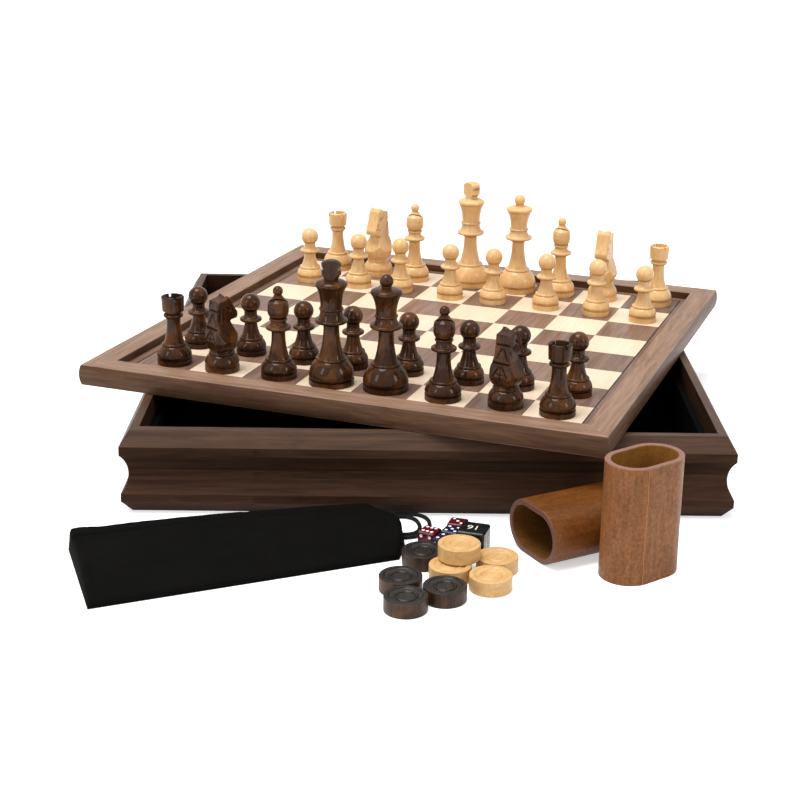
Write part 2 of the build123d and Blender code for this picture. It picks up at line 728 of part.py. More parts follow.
def lying_cup_place(cube_x):
    """The middle of the lying cup's mouth, at the table."""
    heading = radians(LYING_TURN)
    x = cube_x + CUBE_SIDE / 2 + LYING_CUBE_GAP + CUP_LENGTH / 2 * sin(heading)
    depth = CUP_HEIGHT * sin(heading) + CUP_LENGTH / 2 * cos(heading)
    return x, -MOULDING_HALF - LYING_BOX_GAP - depth


def standing_cup_place(lying):
    """The standing cup's middle, beside the lying one."""
    heading = radians(LYING_TURN)
    slant = radians(STANDING_TURN - LYING_TURN)
    half = CUP_WIDTH / 2 + (CUP_LENGTH - CUP_WIDTH) / 2 * sin(slant)
    along = STANDING_ALONG * CUP_HEIGHT
    across = CUP_LENGTH / 2 + STANDING_GAP + half
    x = lying[0] + along * cos(heading) + across * sin(heading)
    return x, lying[1] + along * sin(heading) - across * cos(heading)


# --------------------------------------------------------------- the assembly
def save_box():
    for name, wall in zip(("right", "back", "left", "front"), box_walls()):
        save(f"box_{name}_wall", [wall])
    save("box_floor", [box_floor()])
    save("box_lining", box_lining())


def save_board():
    nodes = {
        "board_frame": board_frame(),
        "board_core": [board_core()],
        "board_maple_veneer": square_veneer(1) + backgammon_points(0),
        "board_walnut_veneer": square_veneer(0) + veneer_ring(STRING_HALF, RAIL_INNER) + [backgammon_field()],
        "board_dark_inlay": veneer_ring(FIELD_HALF, STRING_HALF) + backgammon_points(1),
    }
    for name, shapes in nodes.items():
        save(name, [ON_BOX * shape for shape in shapes])


def save_men():
    shapes = {kind: make() for kind, make in MEN.items()}
    for colour, men, carving in (("dark", DARK_MEN, DARK_KNIGHT), ("light", LIGHT_MEN, LIGHT_KNIGHT)):
        shapes["knight"] = knight(*carving)
        for kind, file, rank, off_file, off_rank in men:
            name = f"{colour}_{kind}_{file + 1}"
            place = on_square(file, rank, off_file, off_rank, FACING.get(name, 0))
            save(name, [place * shapes[kind]])


def save_table():
    places = table_layout()
    x, y, _ = places["checker_light_base"]
    places["checker_light_stacked"] = (x + STACK_SHIFT[0], y + STACK_SHIFT[1], 0)
    draught = checker()
    for name, (x, y, turn) in places.items():
        if name.startswith("checker"):
            level = CHECKER_THICKNESS if name.endswith("stacked") else 0
            save(name, [Pos(x, y, level) * draught])
        elif name in DICE:
            save(name, [Pos(x, y, 0) * Rot(0, 0, turn) * die(*DICE[name])])
        else:
            save(name, [Pos(x, y, 0) * Rot(0, 0, turn) * doubling_cube()])

    lying = lying_cup_place(places["doubling_cube"][0])
    on_its_side = Pos(CUP_HEIGHT, 0, CUP_WIDTH / 2) * Rot(90, 0, 0) * Rot(0, -90, 0)
    save("dice_cup_lying", [Pos(*lying) * Rot(0, 0, LYING_TURN) * on_its_side * cup()])
    save("dice_cup_standing", [Pos(*standing_cup_place(lying)) * Rot(0, 0, STANDING_TURN) * cup()])

    x = places["checker_dark_back"][0] - CHECKER_RADIUS - POUCH_GAP
    corner = Pos(x, -MOULDING_HALF - POUCH_SETBACK)
    save("pouch", [corner * pouch()])
    save("pouch_cords", [corner * cord(route) for route in CORD_LOOPS])


def main():
    os.makedirs("parts", exist_ok=True)
    save_box()
    save_board()
    save_men()
    save_table()


main()
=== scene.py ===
"""The looks of a wooden games compendium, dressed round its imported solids.

A moulded walnut box carries a turned chessboard with its 32 men; a cloth
pouch with a cord, eight draughts, dice, a doubling cube and two shaking cups
lie in front of it. Lengths are metres in the part's own frame.
"""

import logging
import math
from dataclasses import dataclass, field
from enum import Enum
from typing import Callable, Iterable, Optional

import bmesh
import bpy
from mathutils import Matrix, Vector, noise


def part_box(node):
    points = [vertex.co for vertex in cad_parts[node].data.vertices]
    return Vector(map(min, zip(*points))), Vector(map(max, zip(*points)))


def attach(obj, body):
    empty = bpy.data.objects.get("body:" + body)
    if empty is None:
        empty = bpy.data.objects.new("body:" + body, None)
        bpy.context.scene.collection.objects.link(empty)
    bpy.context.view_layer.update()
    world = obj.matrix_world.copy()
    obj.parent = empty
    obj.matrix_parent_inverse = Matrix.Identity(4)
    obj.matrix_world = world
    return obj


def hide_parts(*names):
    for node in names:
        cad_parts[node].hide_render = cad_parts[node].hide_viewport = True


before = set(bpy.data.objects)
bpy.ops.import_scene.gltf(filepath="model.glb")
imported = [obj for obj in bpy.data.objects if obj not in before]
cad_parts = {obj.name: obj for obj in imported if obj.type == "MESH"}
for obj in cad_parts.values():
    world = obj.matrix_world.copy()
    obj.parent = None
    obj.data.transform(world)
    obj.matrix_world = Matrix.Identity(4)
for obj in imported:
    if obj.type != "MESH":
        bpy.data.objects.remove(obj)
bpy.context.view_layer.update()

MM = 0.001
LOG = logging.getLogger("compendium")
Colour = tuple[float, float, float]
Socket = bpy.types.NodeSocket
Test = Callable[[Vector, Vector], int]
MIX_FIRST, MIX_SECOND, MIX_RESULT = 6, 7, 2  # the colour sockets of a Mix node
WAVE_LENGTH = 6.2832 / 20                    # of one wave in a wave texture of scale 1, in metres


class Grain(Enum):
    """The way the fibres of a wooden piece run: a turn about Z in degrees, or a mark for upright."""

    ALONG_X = 0.0
    ALONG_Y = 90.0
    UPRIGHT = -1.0


def turned(degrees: float, axis: str = "Z", size: int = 4) -> Matrix:
    """Returns the matrix of a turn about one axis."""
    return Matrix.Rotation(math.radians(degrees), size, axis)


@dataclass(frozen=True)
class BoardPlace:
    """How the board lies on the box, and the sizes of its field.

    Args:
        turn: Its turn about Z in degrees.
        shift: Its middle in plan.
        square: Side of one chess square.
    """

    turn: float = -20.3
    shift: tuple[float, float] = (-0.6 * MM, 2.4 * MM)
    square: float = 38.0 * MM

    def local(self, point: Vector) -> Vector:
        """Returns a point of the part's frame in the board's own axes."""
        return turned(-self.turn, size=3) @ Vector((point.x - self.shift[0], point.y - self.shift[1], point.z))


BOARD = BoardPlace()


class Nodes:
    """A node tree, built step by step."""

    def __init__(self, tree: bpy.types.NodeTree) -> None:
        """Empties a tree and takes it over.

        Args:
            tree: The tree.
        """
        self.tree = tree
        tree.nodes.clear()

    def feed(self, socket: Socket, value: object) -> None:
        """Links or sets a socket.

        Args:
            socket: The socket.
            value: A socket to link it to, or a plain number or colour that it is set to.
        """
        if isinstance(value, Socket):
            self.tree.links.new(value, socket)
        elif isinstance(value, tuple) and socket.type == "RGBA":
            socket.default_value = (*value, 1.0)
        else:
            socket.default_value = value

    def add(self, kind: str, **values: object) -> bpy.types.Node:
        """Adds a node and feeds its sockets.

        Args:
            kind: Blender's name of the node, without its ShaderNode.
            values: What its sockets are fed, by their names with underscores for blanks.

        Returns:
            The node.
        """
        made = self.tree.nodes.new(f"ShaderNode{kind}")
        for name, value in values.items():
            self.feed(made.inputs[name.replace("_", " ")], value)
        return made

    def worked(self, kind: str, operation: str, *values: object) -> Socket:
        """Adds a node that works on values.

        Args:
            kind: Blender's name of the node, without its ShaderNode.
            operation: Blender's name of what it does.
            values: The values or sockets, in order.

        Returns:
            The result.
        """
        made = self.add(kind)
        made.operation = operation
        for socket, value in zip(made.inputs, values):
            self.feed(socket, value)
        return made.outputs[0]

    def maths(self, operation: str, *values: object) -> Socket:
        """Does arithmetic on values or sockets."""
        return self.worked("Math", operation, *values)

    def moved(self, vector: Socket, shift: Socket) -> Socket:
        """Adds one value to every part of a coordinate."""
        return self.worked("VectorMath", "ADD", vector, shift)

    def cell_noise(self, vector: Socket) -> Socket:
        """Returns a random value that is the same all over each whole cell of a coordinate."""
        return self.add("TexWhiteNoise", Vector=self.worked("VectorMath", "FLOOR", vector)).outputs["Value"]

    def times(self, first: object, second: object) -> Socket:
        """Multiplies two values."""
        return self.maths("MULTIPLY", first, second)

    def mixture(self, *shares: tuple[Socket, float]) -> Socket:
        """Adds up several values, each times its own share.

        Args:
            shares: The values with their shares.

        Returns:
            The sum.
        """
        total, *others = (self.times(*share) for share in shares)
        for other in others:
            total = self.maths("ADD", total, other)
        return total

    def span(self, value: Socket, low: float, high: float, to_low: float = 0.0, to_high: float = 1.0) -> Socket:
        """Maps a value from one range to another, clamped.

        Args:
            value: The value.
            low: The start of its range.
            high: The end of its range.
            to_low: What the start becomes.
            to_high: What the end becomes.

        Returns:
            The mapped value.
        """
        made = self.add("MapRange", Value=value, From_Min=low, From_Max=high, To_Min=to_low, To_Max=to_high)
        return made.outputs[0]

    def seen(self) -> Socket:
        """Tells the rays that show a surface from those that light it.

        Returns:
            1 for camera, glossy and transmission rays, and 0 for the rest.
        """
        path = self.add("LightPath").outputs
        direct = self.maths("MAXIMUM", path["Is Camera Ray"], path["Is Glossy Ray"])
        return self.maths("MAXIMUM", direct, path["Is Transmission Ray"])


class Recipe(Nodes):
    """A material's node tree, built from its shader outwards."""

    def __init__(self, name: str) -> None:
        """Starts a material with one Principled shader.

        Args:
            name: The material's name.
        """
        self.material = bpy.data.materials.new(name)
        self.material.use_nodes = True
        super().__init__(self.material.node_tree)
        self.shader = self.add("BsdfPrincipled")
        self.output = self.add("OutputMaterial", Surface=self.shader.outputs[0])
        self.coordinates = self.add("TexCoord").outputs["Object"]

    def set(self, **values: object) -> None:
        """Feeds sockets of the shader, named with underscores for blanks."""
        for name, value in values.items():
            self.feed(self.shader.inputs[name.replace("_", " ")], value)

    def placed(
        self, vector: Socket, shift: tuple = (0, 0, 0), turn: tuple = (0, 0, 0), scale: tuple = (1, 1, 1)
    ) -> Socket:
        """Scales, turns and then shifts a coordinate.

        Args:
            vector: The coordinate.
            shift: The shift, added last.
            turn: The turn in degrees.
            scale: The scale along each axis.

        Returns:
            The new coordinate.
        """
        angles = tuple(math.radians(angle) for angle in turn)
        return self.add("Mapping", Vector=vector, Location=shift, Rotation=angles, Scale=scale).outputs[0]

    def noise(
        self, vector: Socket, scale: float, detail: float = 3.0, roughness: float = 0.55, distortion: float = 0.0
    ) -> Socket:
        """Adds a noise pattern.

        Args:
            vector: The coordinate it reads.
            scale: Its scale.
            detail: Its number of finer layers.
            roughness: The strength of the finer layers.
            distortion: How much it swirls.

        Returns:
            Its value.
        """
        return self.add(
            "TexNoise", Vector=vector, Scale=scale, Detail=detail, Roughness=roughness, Distortion=distortion
        ).outputs["Fac"]

    def ramp(self, value: Socket, stops: list[tuple[float, Colour]]) -> Socket:
        """Turns a value into a colour.

        Args:
            value: The value, 0 to 1.
            stops: Places and their colours, in order.

        Returns:
            The colour.
        """
        made = self.add("ValToRGB", Fac=value)
        elements = made.color_ramp.elements
        while len(elements) < len(stops):
            elements.new(0.5)
        for element, (place, colour) in zip(elements, stops):
            element.position = place
            element.color = (*colour, 1.0)
        return made.outputs["Color"]

    def blended(self, share: object, first: object, second: object, kind: str = "MIX") -> Socket:
        """Mixes two colours.

        Args:
            share: The share of the second one.
            first: The first colour or socket.
            second: The second colour or socket.
            kind: Blender's name of the blend.

        Returns:
            The mixed colour.
        """
        made = self.add("Mix")
        made.data_type, made.blend_type = "RGBA", kind
        self.feed(made.inputs["Factor"], share)
        self.feed(made.inputs[MIX_FIRST], first)
        self.feed(made.inputs[MIX_SECOND], second)
        return made.outputs[MIX_RESULT]

    def bumped(self, height: Socket, depth: float, strength: float = 1.0) -> None:
        """Turns a height into the shader's normal.

        Args:
            height: The height, 0 to 1.
            depth: What 1 stands for, in metres.
            strength: The strength of the effect.
        """
        self.set(Normal=self.add("Bump", Height=height, Distance=depth, Strength=strength).outputs[0])


@dataclass(frozen=True)
class Wood:
    """A wood under a clear finish.

    Args:
        name: The finish's name.
        dark: Colour of its darkest bands.
        light: Colour of its palest bands.
        grain: The way its fibres run.
        turn: A further turn of the fibres about Z, in degrees.
        band: Width of one growth band.
        stretch: How much longer than wide a band is.
        wander: How much the bands wander.
        pores: Darkness of the open pores.
        pore: Width of one pore.
        roughness: Roughness under the finish.
        coat: Weight of the clear coat.
        coat_roughness: Roughness of the clear coat.
        per_square: How much squares of veneer differ in tone, 0 for one piece.
        relief: Depth of the pores.
        gloss: Specular level of the surface.
        blotch: Share of the paler patches that the stain leaves, 0 for none.
        patch: Colour of those patches.
        butt: Where two lengths meet along X, if they do.
    """

    name: str
    dark: Colour
    light: Colour
    grain: Grain = Grain.ALONG_X
    turn: float = 0.0
    band: float = 6.0 * MM
    stretch: float = 14.0
    wander: float = 1.2
    pores: float = 0.5
    pore: float = 0.35 * MM
    roughness: float = 0.42
    coat: float = 0.15
    coat_roughness: float = 0.25
    per_square: float = 0.0
    relief: float = 0.05 * MM
    gloss: float = 0.2
    blotch: float = 0.0
    patch: Colour = (0.3, 0.12, 0.03)
    butt: Optional[float] = None

    def material(self) -> bpy.types.Material:
        """Makes the bands, streaks and pores along the grain.

        Returns:
            The material.
        """
        recipe = Recipe(self.name)
        along, tone = self.timber(recipe)
        if self.grain is Grain.UPRIGHT:
            length = recipe.placed(along, scale=(1, 1, 1 / self.stretch))
            fine = recipe.placed(along, scale=(1, 1, 0.03))
        else:
            turn = self.grain.value if self.per_square else self.grain.value + self.turn
            along = recipe.placed(along, turn=(0, 0, -turn))
            length = recipe.placed(along, scale=(1 / self.stretch, 1, 1))
            fine = recipe.placed(along, scale=(0.03, 1, 1))
        swirl = recipe.noise(length, 0.35 / self.band, 2.0, 0.5)
        bent = recipe.moved(length, recipe.times(swirl, self.wander * self.band * 3))
        bands = recipe.noise(bent, 1.0 / self.band, 5.0, 0.6, 0.35)
        streaks = recipe.noise(fine, 2.2 / self.band, 4.0, 0.65)
        both = recipe.mixture((bands, 0.62), (streaks, 0.38))
        middle = tuple((a + b) / 2 for a, b in zip(self.dark, self.light))
        colour = recipe.ramp(both, [(0.33, self.dark), (0.5, middle), (0.66, self.light)])
        if tone is not None:
            level = recipe.span(tone, 0, 1, 1 - self.per_square, 1 + self.per_square)
            gain = recipe.add("CombineColor", Red=level, Green=level, Blue=level)
            colour = recipe.blended(1.0, colour, gain.outputs[0], "MULTIPLY")
        if self.blotch:
            soft = recipe.noise(recipe.placed(recipe.coordinates, scale=(1, 1, 0.8)), 70.0, 3.0, 0.6, 0.4)
            colour = recipe.blended(recipe.times(recipe.span(soft, 0.48, 0.62), self.blotch), colour, self.patch)
        holes = recipe.span(recipe.noise(fine, 0.5 / self.pore, 2.0, 0.5), 0.56, 0.7)
        colour = recipe.blended(recipe.times(holes, self.pores), colour, tuple(c * 0.35 for c in self.dark))
        dull = recipe.span(both, 0.3, 0.7, self.roughness + 0.06, self.roughness - 0.04)
        recipe.set(
            Base_Color=colour, Roughness=dull, Coat_Weight=self.coat, Coat_Roughness=self.coat_roughness,
            Specular_IOR_Level=self.gloss,
        )
        recipe.bumped(recipe.maths("SUBTRACT", 1.0, holes), self.relief, 0.6)
        return recipe.material

    def timber(self, recipe: Recipe) -> tuple[Socket, Optional[Socket]]:
        """Returns where in its timber each point lies, and the tone of its square of veneer.

        Args:
            recipe: The material's recipe.

        Returns:
            The coordinate, which jumps past a butt joint and from square to square, and the tone if squares differ.
        """
        along = recipe.coordinates
        if self.butt is not None:
            past = recipe.maths("GREATER_THAN", recipe.add("SeparateXYZ", Vector=along).outputs[0], self.butt)
            along = recipe.moved(along, recipe.times(past, 0.37))
        if not self.per_square:
            return along, None
        board = recipe.placed(along, (-BOARD.shift[0], -BOARD.shift[1], 0.0))
        board = recipe.placed(board, turn=(0, 0, -BOARD.turn))
        tone = recipe.cell_noise(recipe.placed(board, scale=(1 / BOARD.square,) * 2 + (0.0,)))
        return recipe.moved(board, recipe.times(tone, 3.0)), tone


@dataclass(frozen=True)
class Cloth:
    """A woven or felted fabric.

    Args:
        name: The finish's name.
        colour: Its colour.
        lit: The colour of its raised threads, a painted highlight made patchy by noise.
        turn: Turn of its threads about Z, in degrees.
        pitch: Distance between two threads, 0 for felt.
        gloss: Specular level of its fibres.
    """

    name: str
    colour: Colour
    lit: Colour
    turn: float = 0.0
    pitch: float = 0.5 * MM
    gloss: float = 0.04

    def material(self) -> bpy.types.Material:
        """Makes the threads or fibres, raised and worn, with a painted highlight on the raised ones.

        Returns:
            The material.
        """
        recipe = Recipe(self.name)
        vector = recipe.placed(recipe.coordinates, turn=(0, 0, -self.turn))
        height = fibre = recipe.noise(vector, 900.0, 3.0, 0.7)
        if self.pitch:
            weave = recipe.maths("MAXIMUM", *(self.thread(recipe, vector, axis) for axis in ("X", "Y")))
            height = recipe.mixture((weave, 0.7), (fibre, 0.3))
        worn = recipe.noise(vector, 60.0, 4.0, 0.6)
        # Raised threads take the lit colour: a painted highlight, patchy by noise.
        share = recipe.times(recipe.span(height, 0.35, 0.9), recipe.span(worn, 0.3, 0.75, 0.35, 1.0))
        recipe.set(
            Base_Color=recipe.blended(share, self.colour, self.lit), Roughness=0.9,
            Specular_IOR_Level=self.gloss,
        )
        recipe.bumped(height, 0.12 * MM, 0.7)
        return recipe.material

    def thread(self, recipe: Recipe, vector: Socket, axis: str) -> Socket:
        """Makes the threads that repeat along one axis.

        Args:
            recipe: The material's recipe.
            vector: The coordinate that is turned with the threads.
            axis: The axis that they repeat along.

        Returns:
            Their height, 0 to 1.
        """
        made = recipe.add("TexWave", Vector=vector, Scale=WAVE_LENGTH / 2 / self.pitch, Distortion=0.6, Detail=1.0)
        made.wave_type, made.bands_direction = "BANDS", axis
        return made.outputs["Fac"]


@dataclass(frozen=True)
class Plastic:
    """Polished plastic of one colour, slightly uneven in tone.

    Args:
        name: The finish's name.
        colour: Its colour.
        deep: The colour of its darker clouds.
        roughness: Its roughness.
        coat: Weight of its polish.
    """

    name: str
    colour: Colour
    deep: Colour
    roughness: float = 0.2
    coat: float = 0.15

    def material(self) -> bpy.types.Material:
        """Makes the faint clouds and fine scuffs.

        Returns:
            The material.
        """
        recipe = Recipe(self.name)
        clouds = recipe.noise(recipe.coordinates, 180.0, 3.0, 0.5, 0.5)
        scuff = recipe.noise(recipe.coordinates, 700.0, 4.0, 0.6)
        recipe.set(
            Base_Color=recipe.blended(recipe.span(clouds, 0.35, 0.65), self.deep, self.colour),
            Roughness=recipe.span(scuff, 0.4, 0.7, self.roughness, self.roughness + 0.12),
            Coat_Weight=self.coat, Coat_Roughness=0.06, Specular_IOR_Level=0.3,
        )
        recipe.bumped(scuff, 0.01 * MM, 0.3)
        return recipe.material


@dataclass(frozen=True)
class Leather:
    """Tanned leatherboard with a mottled, faintly fibrous face.

    Args:
        name: The finish's name.
        dark: Colour of its mottles.
        light: Colour between them.
        way: Turns in degrees that bring the cup's axis upright, about Z and then about Y.
        middle: The cup's middle.
        seam: Where its seam lies across the front, if it shows.
    """

    name: str
    dark: Colour
    light: Colour
    way: tuple[float, float]
    middle: tuple[float, float, float]
    seam: Optional[float] = None

    def material(self) -> bpy.types.Material:
        """Makes the mottles, the fibres and the glued seam.

        Returns:
            The material.
        """
        recipe = Recipe(self.name)
        own = recipe.placed(recipe.coordinates, tuple(-c for c in self.middle))
        own = recipe.placed(own, turn=(0, 0, -self.way[0]))
        own = recipe.placed(own, turn=(0, self.way[1], 0))
        clouds = recipe.noise(own, 38.0, 3.0, 0.55, 0.3)
        speckle = recipe.noise(own, 520.0, 3.0, 0.7)
        fibre = recipe.noise(recipe.placed(own, scale=(1, 1, 0.12)), 420.0, 3.0, 0.6)
        height = mottle = recipe.mixture((speckle, 0.5), (fibre, 0.34), (clouds, 0.16))
        colour = recipe.ramp(mottle, [(0.36, self.dark), (0.62, self.light)])
        if self.seam is not None:
            line = self.seam_line(recipe, own)
            colour = recipe.blended(recipe.times(line, 0.55), colour, tuple(min(1.0, c * 1.7) for c in self.light))
            height = recipe.maths("ADD", mottle, recipe.times(line, 1.4))
        recipe.set(
            Base_Color=colour, Roughness=recipe.span(speckle, 0.35, 0.7, 0.5, 0.36), Specular_IOR_Level=0.2,
        )
        recipe.bumped(height, 0.12 * MM, 0.7)
        return recipe.material

    def seam_line(self, recipe: Recipe, own: Socket) -> Socket:
        """Draws the seam down the cup's front.

        Args:
            recipe: The material's recipe.
            own: The coordinate in the cup's own axes.

        Returns:
            1 on the seam and 0 beside it.
        """
        kink = recipe.noise(recipe.placed(own, scale=(0, 0, 1)), 90.0, 1.0)
        kink = recipe.span(kink, 0.3, 0.7, -0.45 * MM, 0.45 * MM)
        across, back, _ = recipe.add("SeparateXYZ", Vector=own).outputs
        off = recipe.maths("ADD", recipe.maths("SUBTRACT", across, self.seam), kink)
        near = recipe.span(recipe.maths("ABSOLUTE", off), 0.18 * MM, 0.42 * MM, 1.0, 0.0)
        return recipe.times(near, recipe.maths("LESS_THAN", back, 0.0))


@dataclass(frozen=True)
class Palette:
    """Every finish of the compendium, each made once."""

    made: dict[str, bpy.types.Material] = field(default_factory=dict)

    def of(self, finish: object) -> bpy.types.Material:
        """Gives the material of a finish.

        Args:
            finish: The finish.

        Returns:
            Its material, made at its first use.
        """
        if finish.name not in self.made:
            self.made[finish.name] = finish.material()
        return self.made[finish.name]


PALETTE = Palette()

WALNUT = dict(
    dark=(0.155, 0.08, 0.0445), light=(0.322, 0.193, 0.121), band=5.0 * MM, stretch=9.0, wander=1.8, roughness=0.42,
    coat=0.0, gloss=0.25,
)
# A darker copy of the rails' walnut for their upright faces: painted shade.
WALNUT_SHADED_SIDES = dict(
    dark=(0.06, 0.026, 0.013), light=(0.14, 0.073, 0.039), band=5.0 * MM, stretch=9.0, wander=1.8, roughness=0.45,
    coat=0.0, gloss=0.15,
)
RAILS = [
    Wood(f"walnut_rail_{way}{edge}", **finish, grain=grain, turn=BOARD.turn)
    for edge, finish in (("", WALNUT), ("_shaded_side", WALNUT_SHADED_SIDES))
    for way, grain in (("long", Grain.ALONG_X), ("cross", Grain.ALONG_Y))
]
BOX_WOOD = dict(
    dark=(0.021, 0.0095, 0.0046), light=(0.066, 0.032, 0.017), band=6.0 * MM, stretch=10.0, wander=1.8, pores=0.35,
    coat=0.0, roughness=0.5, gloss=0.06,
)
# Copies of the box's walnut for its mouldings: lighter on the upward lips and low cove faces as painted light,
# darker on the downward high cove faces as painted shade.
BOX_LIT_AND_SHADED = {
    "lit_lips": dict(dark=(0.034, 0.0165, 0.0092), light=(0.094, 0.048, 0.0275), band=5.0 * MM, gloss=0.2),
    "lit_beads": dict(dark=(0.025, 0.0105, 0.0055), light=(0.078, 0.036, 0.0205), gloss=0.08),
    "shaded_coves": dict(dark=(0.014, 0.0058, 0.0026), light=(0.047, 0.0212, 0.0105), gloss=0.04),
}
BOX_PART = dict(roughness=0.47, pores=0.3, stretch=10.0, coat=0.0)
BOX_FRONT = Wood("dark_walnut_front", **BOX_WOOD, grain=Grain.ALONG_X, butt=-108.0 * MM)
BOX_LONG = Wood("dark_walnut_along", **BOX_WOOD, grain=Grain.ALONG_X)
BOX_CROSS = Wood("dark_walnut_across", **BOX_WOOD, grain=Grain.ALONG_Y)
MAPLE = Wood(
    "maple_veneer", dark=(0.74, 0.57, 0.4), light=(0.82, 0.665, 0.5), grain=Grain.ALONG_Y, band=4.0 * MM,
    pores=0.05, roughness=0.4, coat=0.06, per_square=0.04,
)
WALNUT_SQUARES = Wood(
    "walnut_veneer", dark=(0.13, 0.07, 0.045), light=(0.28, 0.168, 0.118), grain=Grain.ALONG_Y, band=4.0 * MM,
    per_square=0.2, roughness=0.4, coat=0.06,
)
PLY = Wood("plywood", dark=(0.4, 0.26, 0.14), light=(0.6, 0.42, 0.25), turn=BOARD.turn)
STRINGING = Wood(
    "ebonised_wood", dark=(0.008, 0.006, 0.005), light=(0.02, 0.015, 0.012), turn=BOARD.turn, gloss=0.1, coat=0.0,
)
DARK_MEN = Wood(
    "dark_men", dark=(0.015, 0.0055, 0.002), light=(0.068, 0.024, 0.0068), grain=Grain.UPRIGHT, band=3.2 * MM,
    stretch=6.0, wander=1.6, pores=0.5, pore=0.3 * MM, roughness=0.3, coat=0.3, coat_roughness=0.07, gloss=0.03,
    blotch=0.8, patch=(0.122, 0.042, 0.0085),
)
# Darker finishes: painted shade on the men's downward faces and in the knights' cuts, and darker in the men's foot
# groove and a dark rook's crown; the dark one also draws the dark draughts' ring lines.
DARK_STAIN_AND_SHADE = Wood(
    "pooled_stain_and_painted_shade", dark=(0.004, 0.002, 0.0012), light=(0.014, 0.006, 0.003), grain=Grain.UPRIGHT, band=3.0 * MM,
    roughness=0.35, coat=0.1, coat_roughness=0.1, gloss=0.03,
)
LIGHT_STAIN_AND_SHADE = Wood(
    "pooled_varnish_and_painted_shade", dark=(0.42, 0.2, 0.06), light=(0.58, 0.31, 0.11), grain=Grain.UPRIGHT, band=3.0 * MM,
    pores=0.1, roughness=0.38, coat=0.05, gloss=0.2,
)
LIGHT_MEN = Wood(
    "light_men", dark=(0.66, 0.375, 0.14), light=(0.8, 0.51, 0.225), grain=Grain.UPRIGHT, band=3.0 * MM,
    stretch=9.0, pores=0.1, pore=0.3 * MM, roughness=0.34, coat=0.34, coat_roughness=0.1, gloss=0.25,
    blotch=0.35, patch=(0.84, 0.6, 0.32),
)
DARK_DRAUGHTS = Wood(
    "dark_draughts", dark=(0.01, 0.0042, 0.002), light=(0.066, 0.029, 0.014), grain=Grain.UPRIGHT, band=2.4 * MM,
    stretch=8.0, pores=0.7, roughness=0.42, coat=0.05, blotch=0.5, patch=(0.125, 0.057, 0.025),
)
DARK_FACES = Wood(
    "dark_draught_faces", dark=(0.014, 0.0115, 0.01), light=(0.038, 0.032, 0.028), grain=Grain.ALONG_Y,
    band=2.0 * MM, pores=0.6, roughness=0.34, coat=0.04, gloss=0.15,
)
LIGHT_LINES = Wood(
    "light_draught_lines", dark=(0.5, 0.27, 0.095), light=(0.66, 0.4, 0.17), grain=Grain.ALONG_X, turn=50.0,
    pores=0.1, roughness=0.38, coat=0.05, gloss=0.2,
)
LIGHT_DRAUGHTS = Wood(
    "light_draughts", dark=(0.53, 0.3, 0.11), light=(0.7, 0.45, 0.2), grain=Grain.ALONG_X, turn=50.0,
    band=3.0 * MM, pores=0.1, roughness=0.38, coat=0.08, gloss=0.25,
)
RED = Plastic("red_dice", (0.15, 0.006, 0.014), (0.07, 0.002, 0.006))
BLUE = Plastic("blue_dice", (0.012, 0.016, 0.06), (0.006, 0.007, 0.03))
WHITE_PIPS = Plastic("white_pips", (0.86, 0.86, 0.84), (0.8, 0.8, 0.78), 0.35, 0.05)
BLACK_CUBE = Plastic("black_cube", (0.012, 0.013, 0.013), (0.006, 0.007, 0.007), 0.24, 0.1)
NUMERALS = Plastic("cream_numerals", (0.82, 0.8, 0.68), (0.76, 0.74, 0.62), 0.4, 0.05)
LINING = Cloth("black_lining", (0.003, 0.003, 0.003), (0.008, 0.007, 0.006), pitch=0.0, gloss=0.02)
POUCH_CLOTH = Cloth("pouch_cloth", (0.0018, 0.0017, 0.0014), (0.0055, 0.0053, 0.0043), turn=20.7, pitch=0.45 * MM)
CORD_BRAID = Cloth("black_cord", (0.008, 0.008, 0.008), (0.03, 0.03, 0.03), pitch=0.6 * MM)
STANDING = dict(way=(36.0, 0.0), middle=(119.645 * MM, -263.642 * MM, 35.5 * MM))
LYING = dict(way=(28.7, -90.0), middle=(58.907 * MM, -247.325 * MM, 16.5 * MM))
CUP_SIDE = Leather("cup_leather", (0.12, 0.042, 0.0115), (0.28, 0.112, 0.038), **STANDING, seam=-11.6 * MM)
CUP_RIM = Leather("cup_rim", (0.2, 0.092, 0.06), (0.27, 0.132, 0.092), **STANDING)
CUP_INSIDE = Leather("cup_inside", (0.22, 0.09, 0.014), (0.34, 0.157, 0.031), **STANDING)
LYING_SIDE = Leather("lying_cup_leather", (0.086, 0.0245, 0.0036), (0.19, 0.064, 0.0105), **LYING)
LYING_RIM = Leather("lying_cup_rim", (0.1, 0.04, 0.024), (0.15, 0.064, 0.042), **LYING)
LYING_INSIDE = Leather("lying_cup_inside", (0.09, 0.034, 0.007), (0.16, 0.065, 0.015), **LYING)


def node(name: str) -> bpy.types.Object:
    """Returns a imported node's object."""
    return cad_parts[name]


def middle_of(name: str) -> Vector:
    """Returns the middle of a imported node's box."""
    low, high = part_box(name)
    return (low + high) / 2


def opened(data: bpy.types.Mesh) -> bmesh.types.BMesh:
    """Copies a mesh into a bmesh.

    Args:
        data: The mesh.

    Returns:
        The bmesh.
    """
    mesh = bmesh.new()
    mesh.from_mesh(data)
    return mesh


def dress(obj: bpy.types.Object, finishes: list, choose: Optional[Test] = None) -> None:
    """Gives an object its finishes.

    Args:
        obj: The object.
        finishes: Its finishes, the first one by default.
        choose: Given a face's middle and normal, returns the number of its finish.
    """
    obj.data.materials.clear()
    for finish in finishes:
        obj.data.materials.append(PALETTE.of(finish))
    numbers = [choose(p.center, p.normal) if choose else 0 for p in obj.data.polygons]
    obj.data.polygons.foreach_set("material_index", numbers)
    obj.data.update()
    LOG.info("dressed %s with %s", obj.name, ", ".join(finish.name for finish in finishes))


